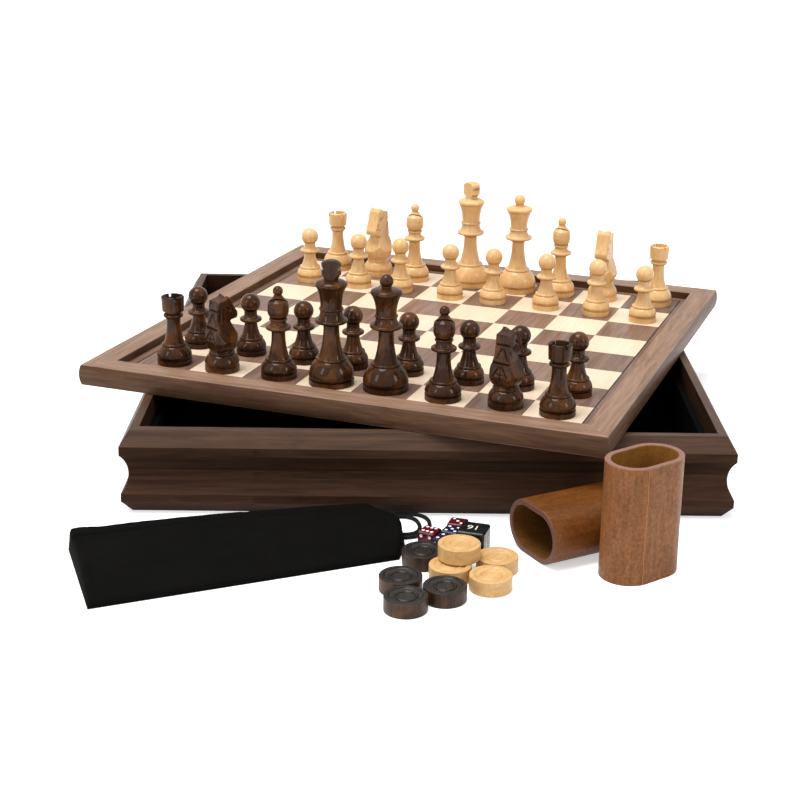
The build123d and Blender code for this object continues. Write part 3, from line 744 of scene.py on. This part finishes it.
def stand(name: str, data: bpy.types.ID, place: Optional[Matrix] = None) -> bpy.types.Object:
    """Adds an object to the scene.

    Args:
        name: Its name.
        data: Its mesh, curve, lamp or camera, or a bmesh, which is freed.
        place: Its place, the origin by default.

    Returns:
        The object.
    """
    if isinstance(data, bmesh.types.BMesh):
        mesh, data = data, bpy.data.meshes.new(name)
        mesh.to_mesh(data)
        mesh.free()
    obj = bpy.data.objects.new(name, data)
    if place is not None:
        obj.matrix_world = place
    bpy.context.scene.collection.objects.link(obj)
    return obj


def new_piece(
    name: str, mesh: bmesh.types.BMesh, body: str, finish: object, smooth: bool = True
) -> bpy.types.Object:
    """Makes an object from a bmesh, in its place in the part's frame.

    Args:
        name: The piece's name.
        mesh: Its shape, which is freed.
        body: The body it moves with.
        finish: Its finish.
        smooth: Whether its faces are shaded smooth.

    Returns:
        The object.
    """
    bmesh.ops.recalc_face_normals(mesh, faces=mesh.faces)
    obj = stand(name, mesh)
    obj.data.polygons.foreach_set("use_smooth", [smooth] * len(obj.data.polygons))
    obj.data.materials.append(PALETTE.of(finish))
    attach(obj, body)
    LOG.info("built %s: %d faces", name, len(obj.data.polygons))
    return obj


@dataclass
class Viewpoint:
    """The camera that looks at the set from the front and a little above.

    Args:
        place: Its place.
        heading: Its heading from +Y towards +X, in degrees.
        pitch: How far it looks down, in degrees.
        roll: Its roll, in degrees.
        lens: Its focal length in millimetres.
        shift: Its shift across and up.
    """

    place: tuple[float, float, float] = (-17.18 * MM, -1124.22 * MM, 404.24 * MM)
    heading: float = 2.549
    pitch: float = 19.967
    roll: float = -1.606
    lens: float = 73.96
    shift: tuple[float, float] = (-0.0895, 0.0251)

    def build(self) -> None:
        """Makes the camera and gives it to the scene."""
        h, p, r = (math.radians(a) for a in (self.heading, self.pitch, self.roll))
        forward = Vector((math.sin(h) * math.cos(p), math.cos(h) * math.cos(p), -math.sin(p)))
        level = Vector((math.cos(h), -math.sin(h), 0.0))
        upright = level.cross(forward)
        right = math.cos(r) * level - math.sin(r) * upright
        up = math.sin(r) * level + math.cos(r) * upright
        data = bpy.data.cameras.new("camera")
        data.sensor_width = 36.0
        data.lens = self.lens
        data.shift_x, data.shift_y = self.shift
        data.clip_start, data.clip_end = 0.02, 40.0
        view = Matrix((right, up, -forward)).transposed().to_4x4()
        bpy.context.scene.camera = stand("camera", data, Matrix.Translation(self.place) @ view)
        LOG.info("placed the camera")


@dataclass(frozen=True)
class Softbox:
    """A soft lamp on a stand, turned to the set.

    Args:
        name: Its name.
        place: Its place.
        width: Its width.
        height: Its height.
        power: Its power in watts.
    """

    name: str
    place: tuple[float, float, float]
    width: float
    height: float
    power: float

    def build(self, target: Vector) -> None:
        """Builds the lamp so that it faces a target.

        Args:
            target: The point it is turned to.
        """
        data = bpy.data.lights.new(self.name, "AREA")
        data.shape = "RECTANGLE"
        data.size, data.size_y = self.width, self.height
        data.energy = self.power
        away = (Vector(self.place) - target).to_track_quat("Z", "Y")
        stand(self.name, data, Matrix.Translation(self.place) @ away.to_matrix().to_4x4())


@dataclass
class Studio:
    """The pale floor and the soft light of a plain studio.

    Args:
        floor: Half the side of the floor.
        glow: How bright the floor is to the eye by itself.
        fill: Brightness of the surrounding light.
        sun: Strength of the large overhead lamp.
        sun_spread: Apparent size of that lamp, in degrees.
        sun_from: The direction that its light comes from.
        boxes: The soft lamps in front of the set.
        aim: The point that they are turned to.
    """

    floor: float = 12.0
    glow: float = 0.5
    fill: float = 0.48
    sun: float = 3.0
    sun_spread: float = 34.0
    sun_from: tuple[float, float, float] = (-0.22, -0.04, 1.0)
    boxes: tuple[Softbox, ...] = (
        Softbox("softbox_left", (-1.35, -1.15, 0.95), 0.4, 0.9, 6.5),
        Softbox("softbox_right", (1.35, -0.95, 0.85), 0.36, 0.8, 6.5),
    )
    aim: tuple[float, float, float] = (0.0, 0.0, 0.06)

    def build(self) -> None:
        """Builds the floor, the world and the lamps."""
        self.build_floor()
        self.build_world()
        self.build_lamp()
        for box in self.boxes:
            box.build(Vector(self.aim))
        bpy.context.scene.view_settings.view_transform = "Standard"

    def build_floor(self) -> None:
        """Builds the floor, which shows as white but keeps its shadows."""
        mesh = bmesh.new()
        bmesh.ops.create_grid(mesh, x_segments=1, y_segments=1, size=self.floor)
        floor = stand("floor", mesh)
        recipe = Recipe("studio_floor")
        dust = recipe.noise(recipe.coordinates, 3.0)
        pale = recipe.ramp(dust, [(0.0, (0.84, 0.84, 0.85)), (1.0, (0.87, 0.87, 0.88))])
        recipe.set(Base_Color=pale, Roughness=0.9, Specular_IOR_Level=0.1)
        glow = recipe.add("Emission", Strength=recipe.times(recipe.seen(), self.glow))
        both = recipe.add("AddShader")
        recipe.feed(both.inputs[0], recipe.shader.outputs[0])
        recipe.feed(both.inputs[1], glow.outputs[0])
        recipe.feed(recipe.output.inputs["Surface"], both.outputs[0])
        floor.data.materials.append(recipe.material)

    def build_world(self) -> None:
        """Builds a world that is white to the eye and dimmer as a light."""
        world = bpy.data.worlds.new("studio")
        bpy.context.scene.world = world
        world.use_nodes = True
        nodes = Nodes(world.node_tree)
        sky = nodes.add("Background", Color=(1.0, 1.0, 1.0), Strength=nodes.span(nodes.seen(), 0, 1, self.fill, 1.0))
        nodes.add("OutputWorld", Surface=sky.outputs[0])

    def build_lamp(self) -> None:
        """Builds the large soft lamp over the set."""
        data = bpy.data.lights.new("overhead", "SUN")
        data.energy = self.sun
        data.angle = math.radians(self.sun_spread)
        stand("overhead", data, Vector(self.sun_from).normalized().to_track_quat("Z", "Y").to_matrix().to_4x4())


@dataclass
class Box:
    """The moulded walnut box with its black lining.

    Args:
        walls: The walls' names, with their finishes and the way they run.
        cove: The heights that the cove lies between.
    """

    walls: dict[str, tuple[Wood, Grain]] = field(default_factory=lambda: {
        "box_front_wall": (BOX_FRONT, Grain.ALONG_X), "box_back_wall": (BOX_LONG, Grain.ALONG_X),
        "box_left_wall": (BOX_CROSS, Grain.ALONG_Y), "box_right_wall": (BOX_CROSS, Grain.ALONG_Y),
    })
    cove: tuple[float, float] = (13.0 * MM, 38.0 * MM)

    def dress(self) -> None:
        """Dresses the walls, the floor panel and the lining."""
        for name, (body, grain) in self.walls.items():
            dress(node(name), self.finishes(body, grain), self.part)
        dress(node("box_floor"), [PLY])
        dress(node("box_lining"), [LINING])

    @staticmethod
    def finishes(body: Wood, grain: Grain) -> list[Wood]:
        """Returns a wall's finish and its copies with painted light on the lips and low in the coves and painted
        shade high in the coves.

        Args:
            body: The finish of the wall's plain faces.
            grain: The way that the wall runs.

        Returns:
            The finishes, in the order that part() counts.
        """
        return [body] + [
            Wood(f"walnut_{part}_{grain.name.lower()}", **BOX_PART, **recipe, grain=grain)
            for part, recipe in BOX_LIT_AND_SHADED.items()
        ]

    def part(self, middle: Vector, normal: Vector) -> int:
        """Tells the moulding faces that are painted lighter or darker, as light and shade, from a wall's plain
        faces.

        Args:
            middle: The middle of a face.
            normal: Its normal.

        Returns:
            1 on the upper bevels and 2 low in the coves, both facing up and painted lighter as light, 3 high in the
            coves, facing down and painted darker as shade, and 0 elsewhere.
        """
        foot, top = self.cove
        # Upward faces take painted light; downward faces in the cove take painted shade.
        if normal.z > 0.3 and middle.z > top:
            return 1
        if abs(normal.z) < 0.15 or not foot < middle.z < top:
            return 0
        return 2 if normal.z > 0 else 3


@dataclass
class GameBoard:
    """The reversible board: mitred rails, veneered squares and dark lines."""

    def dress(self) -> None:
        """Dresses the rails, the core and the veneers."""
        dress(node("board_frame"), RAILS, self.rail)
        dress(node("board_core"), [PLY])
        dress(node("board_maple_veneer"), [MAPLE])
        dress(node("board_walnut_veneer"), [WALNUT_SQUARES])
        dress(node("board_dark_inlay"), [STRINGING])

    @staticmethod
    def rail(middle: Vector, normal: Vector) -> int:
        """Returns 0 on the rails along the board's X and 1 on the others, and 2 more on their upright faces, which
        are painted darker as shade.
        """
        place = BOARD.local(middle)
        # Upright faces take the darker copy, painted shade.
        return int(abs(place.y) <= abs(place.x)) + 2 * int(abs(normal.z) < 0.45)


@dataclass
class Men:
    """The turned chessmen.

    Args:
        finishes: Each side's wood and its darker finish of stain and painted shade.
        groove: Height of the groove over a man's lowest disc.
        pool: How far the darker finish reaches up and down from the groove.
        disc: Height below which no downward face is painted with shade.
        crown: How far down from its top a dark rook's upward faces take the darker finish.
    """

    finishes: dict[str, tuple] = field(default_factory=lambda: {
        "dark": (DARK_MEN, DARK_STAIN_AND_SHADE), "light": (LIGHT_MEN, LIGHT_STAIN_AND_SHADE),
    })
    groove: float = 3.9 * MM
    pool: float = 0.45 * MM
    disc: float = 0.6 * MM
    crown: float = 7.0 * MM

    def dress(self) -> None:
        """Dresses every turned man of both sides."""
        for name in sorted(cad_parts):
            side, _, kind = name.partition("_")
            if side in self.finishes and not kind.startswith(("checker", "knight")):
                low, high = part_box(name)
                hollow = high.z - self.crown if name.startswith("dark_rook") else high.z + self.crown
                dress(node(name), list(self.finishes[side]), self.stain(low.z, hollow))

    def stain(self, seat: float, hollow: float) -> Test:
        """Returns a test for the places where a man takes its darker finish: painted shade on downward faces, and
        darker in its groove and a dark rook's crown.

        Args:
            seat: The height that the man stands at.
            hollow: The height above which its upward faces take the darker finish too.

        Returns:
            The test, for dress().
        """
        def darkened_places(middle: Vector, normal: Vector) -> int:
            """Tells the darkened places from the rest.

            Args:
                middle: The middle of a face.
                normal: Its normal.

            Returns:
                1 where the finish is darker and 0 elsewhere.
            """
            # Downward faces are painted darker as shade.
            under = normal.z < -0.5 and middle.z > seat + self.disc
            crown = normal.z > 0.7 and middle.z > hollow
            return int(under or crown or abs(middle.z - seat - self.groove) < self.pool)

        return darkened_places


@dataclass(frozen=True)
class Cut:
    """One gouged line of a knight's carving, in millimetres.

    Args:
        start: Its start, across the face and up.
        end: Its end.
        width: Half its width.
        depth: Its depth.
    """

    start: tuple[float, float]
    end: tuple[float, float]
    width: float = 0.8
    depth: float = 0.75

    def bite(self, across: float, up: float) -> float:
        """Tells how deep the line cuts at a point of the face.

        Args:
            across: The point's place across the face.
            up: Its height.

        Returns:
            The depth in millimetres.
        """
        a, b, p = Vector(self.start), Vector(self.end), Vector((across, up))
        run = b - a
        share = max(0.0, min(1.0, (p - a).dot(run) / run.length_squared))
        off = (p - a - share * run).length
        return self.depth * max(0.0, 1.0 - off / self.width)


@dataclass
class Knights:
    """The four knights, whose heads are carved over their turned feet.

    Args:
        foot: Height of the turned foot, kept as it is.
        overlap: How far the carved part reaches down into it.
        voxel: Size of the carving's facets.
        turns: Each knight's turn about Z, in degrees.
        heights: Height of a dark and of a light knight, in millimetres. The mane's cuts fit the dark one.
        mane: The cuts down the mane.
        cheek: The cuts on each flat side, from the back forward and up.
        mane_from: Height from which the back is cut, in millimetres.
        cheek_from: Height from which the sides are cut.
        shade_depth: How deep a cut must be, in millimetres, to take the darker finish, painted there as shade.
        marks: Depth of the knife's marks, in millimetres.
        marks_from: Height from which they show, in millimetres.
        marks_scale: How close together they are.
    """

    foot: float = 14.4 * MM
    overlap: float = 0.8 * MM
    voxel: float = 0.42 * MM
    turns: dict[str, float] = field(default_factory=lambda: {
        "dark_knight_2": -50.3, "dark_knight_7": -34.3, "light_knight_2": 141.7, "light_knight_7": 155.7,
    })
    heights: dict[str, float] = field(default_factory=lambda: {"dark": 50.6, "light": 54.8})
    mane: tuple[Cut, ...] = (
        Cut((-9.0, 41.0), (9.0, 41.0), 0.9, 0.9),
        Cut((-9.5, 29.3), (9.5, 29.3), 0.9, 0.9),
        Cut((-0.5, 38.6), (-3.6, 32.2)), Cut((0.9, 38.6), (4.4, 31.6)), Cut((-0.2, 37.6), (-1.2, 34.0), 0.5, 0.4),
        Cut((0.0, 27.8), (0.0, 17.4)), Cut((-1.4, 26.8), (-5.0, 20.6)), Cut((1.4, 26.8), (5.4, 20.6)),
        Cut((-2.6, 22.4), (2.6, 22.4), 0.6, 0.5), Cut((-4.0, 19.8), (-6.4, 17.6), 0.6, 0.5),
        Cut((3.6, 20.2), (6.8, 17.4), 0.6, 0.5),
    )
    cheek: tuple[Cut, ...] = (
        Cut((1.6, -7.4), (3.6, -9.4), 0.9, 0.9), Cut((6.6, -13.0), (7.6, -14.2), 0.8, 0.6),
        Cut((4.4, -17.4), (9.5, -16.2), 0.6, 0.6), Cut((-2.6, -2.6), (-3.6, -17.0), 0.6, 0.35),
    )
    mane_from: float = 16.5
    cheek_from: float = 20.0
    shade_depth: float = 0.3
    marks: float = 0.09
    marks_from: float = 16.0
    marks_scale: float = 260.0

    def build(self) -> None:
        """Carves and dresses all four."""
        for name, turn in self.turns.items():
            side = name.split("_")[0]
            seat = middle_of(name)
            seat.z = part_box(name)[0].z
            place = Matrix.Translation(seat) @ turned(turn)
            mesh = self.split(name, place, keep_foot=True)
            carved = self.carved(name, place, self.heights[side])
            mesh.from_mesh(carved)
            bpy.data.meshes.remove(carved)
            bmesh.ops.transform(mesh, matrix=place, verts=mesh.verts)
            wood, cut_shade = Men().finishes[side]
            piece = new_piece(f"{name}_carved", mesh, name, wood)
            # The second finish darkens the cuts as painted shade.
            piece.data.materials.append(PALETTE.of(cut_shade))
            piece.modifiers.new("edges", "WEIGHTED_NORMAL").keep_sharp = True
            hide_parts(name)

    def split(self, name: str, place: Matrix, keep_foot: bool) -> bmesh.types.BMesh:
        """Takes a copy of a knight in its own axes and cuts it at the foot.

        Args:
            name: The node's name.
            place: Its place.
            keep_foot: Whether the foot stays or the part above it.

        Returns:
            The closed half.
        """
        mesh = opened(node(name).data)
        bmesh.ops.remove_doubles(mesh, verts=mesh.verts, dist=0.002 * MM)
        bmesh.ops.transform(mesh, matrix=place.inverted(), verts=mesh.verts)
        level = self.foot if keep_foot else self.foot - self.overlap
        everything = mesh.verts[:] + mesh.edges[:] + mesh.faces[:]
        bmesh.ops.bisect_plane(
            mesh, geom=everything, dist=0.001 * MM, plane_co=(0, 0, level), plane_no=(0, 0, 1),
            clear_outer=keep_foot, clear_inner=not keep_foot,
        )
        bmesh.ops.holes_fill(mesh, edges=[e for e in mesh.edges if e.is_boundary])
        if keep_foot:
            for edge in mesh.edges:
                if len(edge.link_faces) == 2 and edge.calc_face_angle(0.0) > math.radians(40):
                    edge.smooth = False
        return mesh

    def carved(self, name: str, place: Matrix, height: float) -> bpy.types.Mesh:
        """Carves the part of a knight above its foot.

        Args:
            name: The node's name.
            place: Its place.
            height: Its height in millimetres.

        Returns:
            The carved mesh, in the knight's own axes.
        """
        block = stand(f"{name}_block", self.split(name, place, keep_foot=False))
        remesh = block.modifiers.new("fine", "REMESH")
        remesh.mode = "VOXEL"
        remesh.voxel_size = self.voxel
        fine = bpy.data.meshes.new_from_object(block.evaluated_get(bpy.context.evaluated_depsgraph_get()))
        bpy.data.objects.remove(block)
        mesh = opened(fine)
        every_way = dict(use_axis_x=True, use_axis_y=True, use_axis_z=True)
        for _ in range(3):
            bmesh.ops.smooth_vert(mesh, verts=mesh.verts, factor=0.5, **every_way)
        mesh.normal_update()
        moves, shaded_verts = [], set()
        for vert in mesh.verts:
            bite = self.bite(vert, height)
            if bite > self.shade_depth:
                shaded_verts.add(vert)
            marked = vert.co.z / MM > self.marks_from
            uneven = self.marks * noise.noise(vert.co * self.marks_scale) if marked else 0.0
            if bite or uneven:
                moves.append((vert, vert.normal * (uneven - bite) * MM))
        for vert, move in moves:
            vert.co += move
        # Faces in the deeper cuts take the darker finish: painted shade.
        for face in mesh.faces:
            face.material_index = int(sum(vert in shaded_verts for vert in face.verts) > 2)
        mesh.to_mesh(fine)
        mesh.free()
        return fine

    def bite(self, vert: bmesh.types.BMVert, height: float) -> float:
        """Tells how deep the carving goes at a vertex.

        Args:
            vert: The vertex.
            height: The knight's height in millimetres.

        Returns:
            The depth in millimetres.
        """
        across, ahead, up = (c / MM for c in vert.co)
        if vert.normal.y < -0.15 and up > self.mane_from:
            return max(cut.bite(across, up * self.heights["dark"] / height) for cut in self.mane)
        if abs(vert.normal.x) > 0.45 and up > self.cheek_from:
            return max(cut.bite(ahead, up - height) for cut in self.cheek)
        return 0.0


@dataclass
class Draughts:
    """The eight draughts.

    Args:
        sides: The finishes of each side's edges, faces and lines.
        lines: Radii of the lines on a face.
        half_line: Half the width of a line.
    """

    sides: dict[str, tuple] = field(default_factory=lambda: {
        "dark": (DARK_DRAUGHTS, DARK_FACES, DARK_STAIN_AND_SHADE), "light": (LIGHT_DRAUGHTS, LIGHT_DRAUGHTS, LIGHT_LINES),
    })
    lines: tuple[float, ...] = (5.1 * MM, 6.55 * MM, 9.55 * MM)
    half_line: float = 0.17 * MM

    def dress(self) -> None:
        """Dresses the draughts."""
        for name in sorted(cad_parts):
            for side, finishes in self.sides.items():
                if name.startswith(f"checker_{side}"):
                    dress(node(name), list(finishes), self.face(name))

    def face(self, name: str) -> Test:
        """Returns a test that gives 1 on the turned faces, 2 on the lines of their rings and 0 on the edge.

        Args:
            name: The draught's name.

        Returns:
            The test, for dress().
        """
        centre = middle_of(name)

        def zone(middle: Vector, normal: Vector) -> int:
            """Tells the edge, the faces and the ring lines apart.

            Args:
                middle: The middle of a face.
                normal: Its normal.

            Returns:
                The number of the finish.
            """
            if abs(normal.z) < 0.5:
                return 0
            reach = (middle - centre).to_2d().length
            return 2 if any(abs(reach - line) < self.half_line for line in self.lines) else 1

        return zone


@dataclass
class Dice:
    """Four dice with white pips, and the doubling cube with its numbers.

    Args:
        side: Side of a die.
        flat: Half the flat part of a die's face.
        sunk: How far under a face its pips start.
        turns: Each die's own turn about Z, in degrees.
        cube_side: Side of the doubling cube.
        cube_turn: Its turn about Z, in degrees.
        numeral: Type size of its numbers.
        raised: How far they stand out.
    """

    side: float = 11.0 * MM
    flat: float = 4.15 * MM
    sunk: float = 0.004 * MM
    turns: dict[str, float] = field(default_factory=lambda: {
        "die_red_back": -17.0, "die_blue_back": -25.0, "die_red_left": -29.0, "die_blue_front": -37.0,
    })
    cube_side: float = 17.0 * MM
    cube_turn: float = -17.0
    numeral: float = 7.84 * MM
    raised: float = 0.06 * MM

    def dress(self) -> None:
        """Dresses the dice and the cube, and adds the cube's numbers."""
        for name, turn in self.turns.items():
            body, slot = (RED, "red_dice") if "red" in name else (BLUE, "blue_dice")
            dress(node(name), [body, WHITE_PIPS], self.pip_test(middle_of(name), turn))
        dress(node("doubling_cube"), [BLACK_CUBE])
        self.build_numerals()

    def pip_test(self, middle: Vector, turn: float) -> Test:
        """Returns a test that tells the hollows of a die's pips from its faces.

        Args:
            middle: The die's middle.
            turn: Its turn about Z, in degrees.

        Returns:
            The test, for dress().
        """
        back = turned(-turn, size=3)

        def inside(place: Vector, normal: Vector) -> int:
            """Tells the pips from the faces.

            Args:
                place: The middle of a face.
                normal: Its normal.

            Returns:
                1 in a pip and 0 elsewhere.
            """
            _, mid, high = sorted(abs(c) for c in back @ (place - middle))
            return int(mid < self.flat and high < self.side / 2 - self.sunk)

        return inside

    def build_numerals(self) -> None:
        """Builds the six numbers on the faces of the doubling cube."""
        cube = Matrix.Translation(middle_of("doubling_cube")) @ turned(self.cube_turn)
        upright = turned(90, "X")
        faces = {
            "16": turned(180), "2": upright, "32": turned(90) @ upright, "64": turned(180) @ upright,
            "4": turned(-90) @ upright, "8": turned(180, "X"),
        }
        for number, way in faces.items():
            curve = bpy.data.curves.new(f"number_{number}", "FONT")
            curve.body = number
            curve.size = self.numeral
            curve.align_x = curve.align_y = "CENTER"
            curve.extrude = self.raised
            curve.resolution_u = 4
            letters = stand(f"number_{number}", curve)
            bpy.context.view_layer.update()
            mesh = opened(bpy.data.meshes.new_from_object(letters))
            bpy.data.objects.remove(letters)
            place = cube @ way @ Matrix.Translation((0, 0, self.cube_side / 2))
            bmesh.ops.transform(mesh, matrix=place, verts=mesh.verts)
            new_piece(f"cube_number_{number}", mesh, "doubling_cube", NUMERALS, False)


@dataclass
class Cups:
    """The two shaking cups of thick leatherboard.

    Args:
        height: Height of a cup.
        flat: Half the length of its flat sides.
        bore: Half the width of its inside.
        floor: Thickness of its floor.
        rim: How far the rounded rim reaches down.
        slack: How far past the bore and the floor the inside's finish reaches.
    """

    height: float = 71.0 * MM
    flat: float = 8.5 * MM
    bore: float = 13.0 * MM
    floor: float = 4.0 * MM
    rim: float = 0.9 * MM
    slack: float = 1.0 * MM

    def dress(self) -> None:
        """Dresses both cups."""
        foot = Vector(STANDING["middle"]) - Vector((0, 0, self.height / 2))
        upright = Matrix.Translation(foot) @ turned(STANDING["way"][0])
        axis = turned(LYING["way"][0], size=3) @ Vector((1, 0, 0))
        side = Vector((0, 0, 1)).cross(-axis)
        way = Matrix((side, -axis.cross(side), -axis)).transposed().to_4x4()
        lying = Matrix.Translation(Vector(LYING["middle"]) + axis * self.height) @ way
        dress(node("dice_cup_standing"), [CUP_SIDE, CUP_RIM, CUP_INSIDE], self.zone(upright))
        dress(node("dice_cup_lying"), [LYING_SIDE, LYING_RIM, LYING_INSIDE], self.zone(lying))

    def zone(self, place: Matrix) -> Test:
        """Returns a test for the outside, the rim and the inside of a cup.

        Args:
            place: The cup's place, with its axis along Z and its foot at 0.

        Returns:
            The test, for dress().
        """
        back = place.inverted()

        def part(middle: Vector, normal: Vector) -> int:
            """Tells the outside, the rim and the inside apart.

            Args:
                middle: The middle of a face.
                normal: Its normal.

            Returns:
                The number of the finish.
            """
            local = back @ middle
            if local.z > self.height - self.rim:
                return 1
            run = max(0.0, abs(local.x) - self.flat)
            inside = math.hypot(run, local.y) < self.bore + self.slack and local.z > self.floor - self.slack
            return 2 if inside else 0

        return part


@dataclass
class Pouch:
    """The cloth pouch and the two loops of its cord.

    Args:
        corner: The pouch's corner that the cords come out at.
        left: The bag's front left and back left corners, in millimetres.
        mouth: Points along its mouth: how far back each is, 0 to 1, and its place.
        bow: How far its back edge bows out, in millimetres.
        thickness: Its thickness, in millimetres.
        front_swell: How far in from the front edge it reaches its thickness.
        back_swell: The same from the back edge.
        hem: How far in from the back edge the hem's stitches run, in millimetres.
        side_hem: The same at the left edge.
        thinnest: Its least thickness, in millimetres.
        highest: Its greatest height, in millimetres.
        size: Its length and depth, in millimetres.
        diameter: Diameter of the cord.
        loops: Each loop's length, and its route from the corner, in millimetres.
    """

    corner: tuple[float, float] = (-17.96, -213.5)
    left: tuple = ((-185.8, -319.9), (-211.0, -242.6))
    mouth: tuple = ((0.0, (-18.2, -252.6)), (0.32, (-14.8, -236.0)), (0.62, (-16.4, -214.6)), (1.0, (-38.6, -193.8)))
    bow: float = 6.0
    thickness: float = 13.2
    front_swell: float = 56.0
    back_swell: float = 3.6
    hem: float = 11.0
    side_hem: float = 6.0
    thinnest: float = 0.9
    highest: float = 14.5
    size: tuple[float, float] = (165.0, 71.0)
    diameter: float = 2.5 * MM
    loops: dict[str, tuple] = field(default_factory=lambda: {
        "cord_loop_small": (60.7 * MM, (
            (-13.2, 8.549), (-9.612, 14.089), (-4.6, 20.4), (2.4, 22.2), (8.8, 18.6), (11.4, 11.8), (12.2, 5.0),
            (10.4, -1.9), (5.6, -5.4), (0, -5.4),
        )),
        "cord_loop_large": (84.2 * MM, (
            (-20.2, 13.082), (-16.395, 18.958), (-8.2, 25.0), (1.6, 26.3), (11.6, 25.2), (17.2, 18.4), (18.2, 9.0),
            (17.0, 0.0), (11.6, -7.0), (4.4, -10.0), (0, -10.0),
        )),
    })

    def build(self) -> None:
        """Builds the cords and the bag."""
        for name, (length, route) in self.loops.items():
            self.build_cord(name, route)
        self.build_bag()

    def build_bag(self) -> None:
        """Builds the flat, softly filled bag with its hems and folds."""
        mesh = bmesh.new()
        bmesh.ops.create_grid(mesh, x_segments=190, y_segments=96, size=0.5)
        raised = bmesh.ops.extrude_face_region(mesh, geom=mesh.faces[:], use_keep_orig=True)
        upper = {item for item in raised["geom"] if isinstance(item, bmesh.types.BMVert)}
        for vert in mesh.verts:
            across, back = vert.co.x + 0.5, vert.co.y + 0.5
            place = self.spread(across, back)
            height = self.rise(across, back) if vert in upper else 0.25
            vert.co = Vector((place.x, place.y, height)) * MM
        bmesh.ops.remove_doubles(mesh, verts=mesh.verts, dist=0.0005 * MM)
        bag = new_piece("pouch_bag", mesh, "pouch", POUCH_CLOTH)
        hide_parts("pouch")

    def spread(self, across: float, back: float) -> Vector:
        """Returns the place in plan of a point of the bag's cloth.

        Args:
            across: 0 at its left end, 1 at its mouth.
            back: 0 at its front edge, 1 at its back edge.

        Returns:
            The place in millimetres.
        """
        front_left, back_left = (Vector(end) for end in self.left)
        left = front_left.lerp(back_left, back)
        mouth = Vector(self.mouth[-1][1])
        for (low, start), (high, end) in zip(self.mouth, self.mouth[1:]):
            if low <= back < high:
                mouth = Vector(start).lerp(Vector(end), (back - low) / (high - low))
        place = left.lerp(mouth, across)
        edge = max(0.0, 1.0 - (1.0 - back) * 14.0)
        ripple = 0.55 * math.sin(across * 88.0 + 2.0 * math.sin(across * 31.0)) * max(0.0, 1.0 - across * 1.25)
        inward = (front_left - back_left).normalized()
        return place + inward * (edge * (0.6 + ripple) - self.bow * back * math.sin(math.pi * across))

    def rise(self, across: float, back: float) -> float:
        """Returns the height of the bag's upper cloth.

        Args:
            across: 0 at its left end, 1 at its mouth.
            back: 0 at its front edge, 1 at its back edge.

        Returns:
            The height in millimetres.
        """
        place = self.spread(across, back)
        length, depth = self.size
        front, rear = back * depth, (1.0 - back) * depth
        left, right = across * length, (1.0 - across) * length
        slope = 0.2 + 0.8 * math.sin(min(1.0, front / self.front_swell) * math.pi / 2)
        level = self.swell(front, 2.5) * slope * self.swell(rear, self.back_swell)
        level *= self.swell(left, 3.0) * self.swell(right, 4.0)
        point = Vector((place.x, place.y, 0.0))
        broad = noise.noise(point * 0.028) * 0.9 + noise.noise(point * 0.011 + Vector((3, 1, 0))) * 0.8
        towards = math.atan2(back - 0.5, 1.12 - across)
        gathers = math.sin(towards * 13.0 + 1.4) * max(0.0, across - 0.6) ** 1.5 * 1.6
        crease = -0.7 * self.ridge(across - 0.82 + 0.25 * back, 0.012) * self.swell(rear, 25.0)
        step = 0.45 if rear < self.hem else 0.0
        stitches = -0.55 * self.ridge(rear - self.hem, 0.7) - 0.4 * self.ridge(left - self.side_hem, 0.6)
        lift = 3.2 * self.ridge(across - 0.02, 0.06) * self.ridge(back - 0.96, 0.12)
        body = (self.thickness - 2.0 + broad + gathers + crease) * level
        top = 1.1 + body + (step + stitches + lift) * min(1.0, level * 1.5)
        return min(self.highest, max(self.thinnest, top))

    @staticmethod
    def ridge(off: float, width: float) -> float:
        """Returns 1 on a line and less and less away from it, over a width."""
        return math.exp(-((off / width) ** 2))

    @staticmethod
    def swell(inset: float, reach: float) -> float:
        """Returns the share of its thickness that the bag has at an inset from an edge."""
        share = min(1.0, max(0.0, inset / reach))
        return math.sqrt(max(0.0, 1.0 - (1.0 - share) ** 2))

    def build_cord(self, name: str, route: Iterable) -> None:
        """Builds one loop of cord on its smooth line.

        Args:
            name: The piece's name.
            route: Its points in plan, from the pouch's corner, in millimetres.
        """
        points = [
            Vector(((self.corner[0] + x) * MM, (self.corner[1] + y) * MM, self.diameter / 2)) for x, y in route
        ]
        curve = bpy.data.curves.new(name, "CURVE")
        curve.dimensions = "3D"
        curve.bevel_depth = self.diameter / 2
        curve.bevel_resolution = 5
        curve.resolution_u = 10
        curve.use_fill_caps = True
        spline = curve.splines.new("NURBS")
        spline.points.add(len(points) - 1)
        for place, point in zip(spline.points, points):
            place.co = (*point, 1.0)
        spline.order_u = 3
        spline.use_endpoint_u = True
        cord = stand(name, curve)
        curve.materials.append(PALETTE.of(CORD_BRAID))
        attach(cord, "pouch")
        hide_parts("pouch_cords")
        LOG.info("built %s", name)


def main() -> None:
    """Builds the whole scene, part by part."""
    logging.basicConfig(level=logging.INFO, format="%(name)s: %(message)s")
    Viewpoint().build()
    Pouch().build()
    Studio().build()
    Box().dress()
    GameBoard().dress()
    Men().dress()
    Knights().build()
    Draughts().dress()
    Dice().dress()
    Cups().dress()


if __name__ == "__main__":
    main()
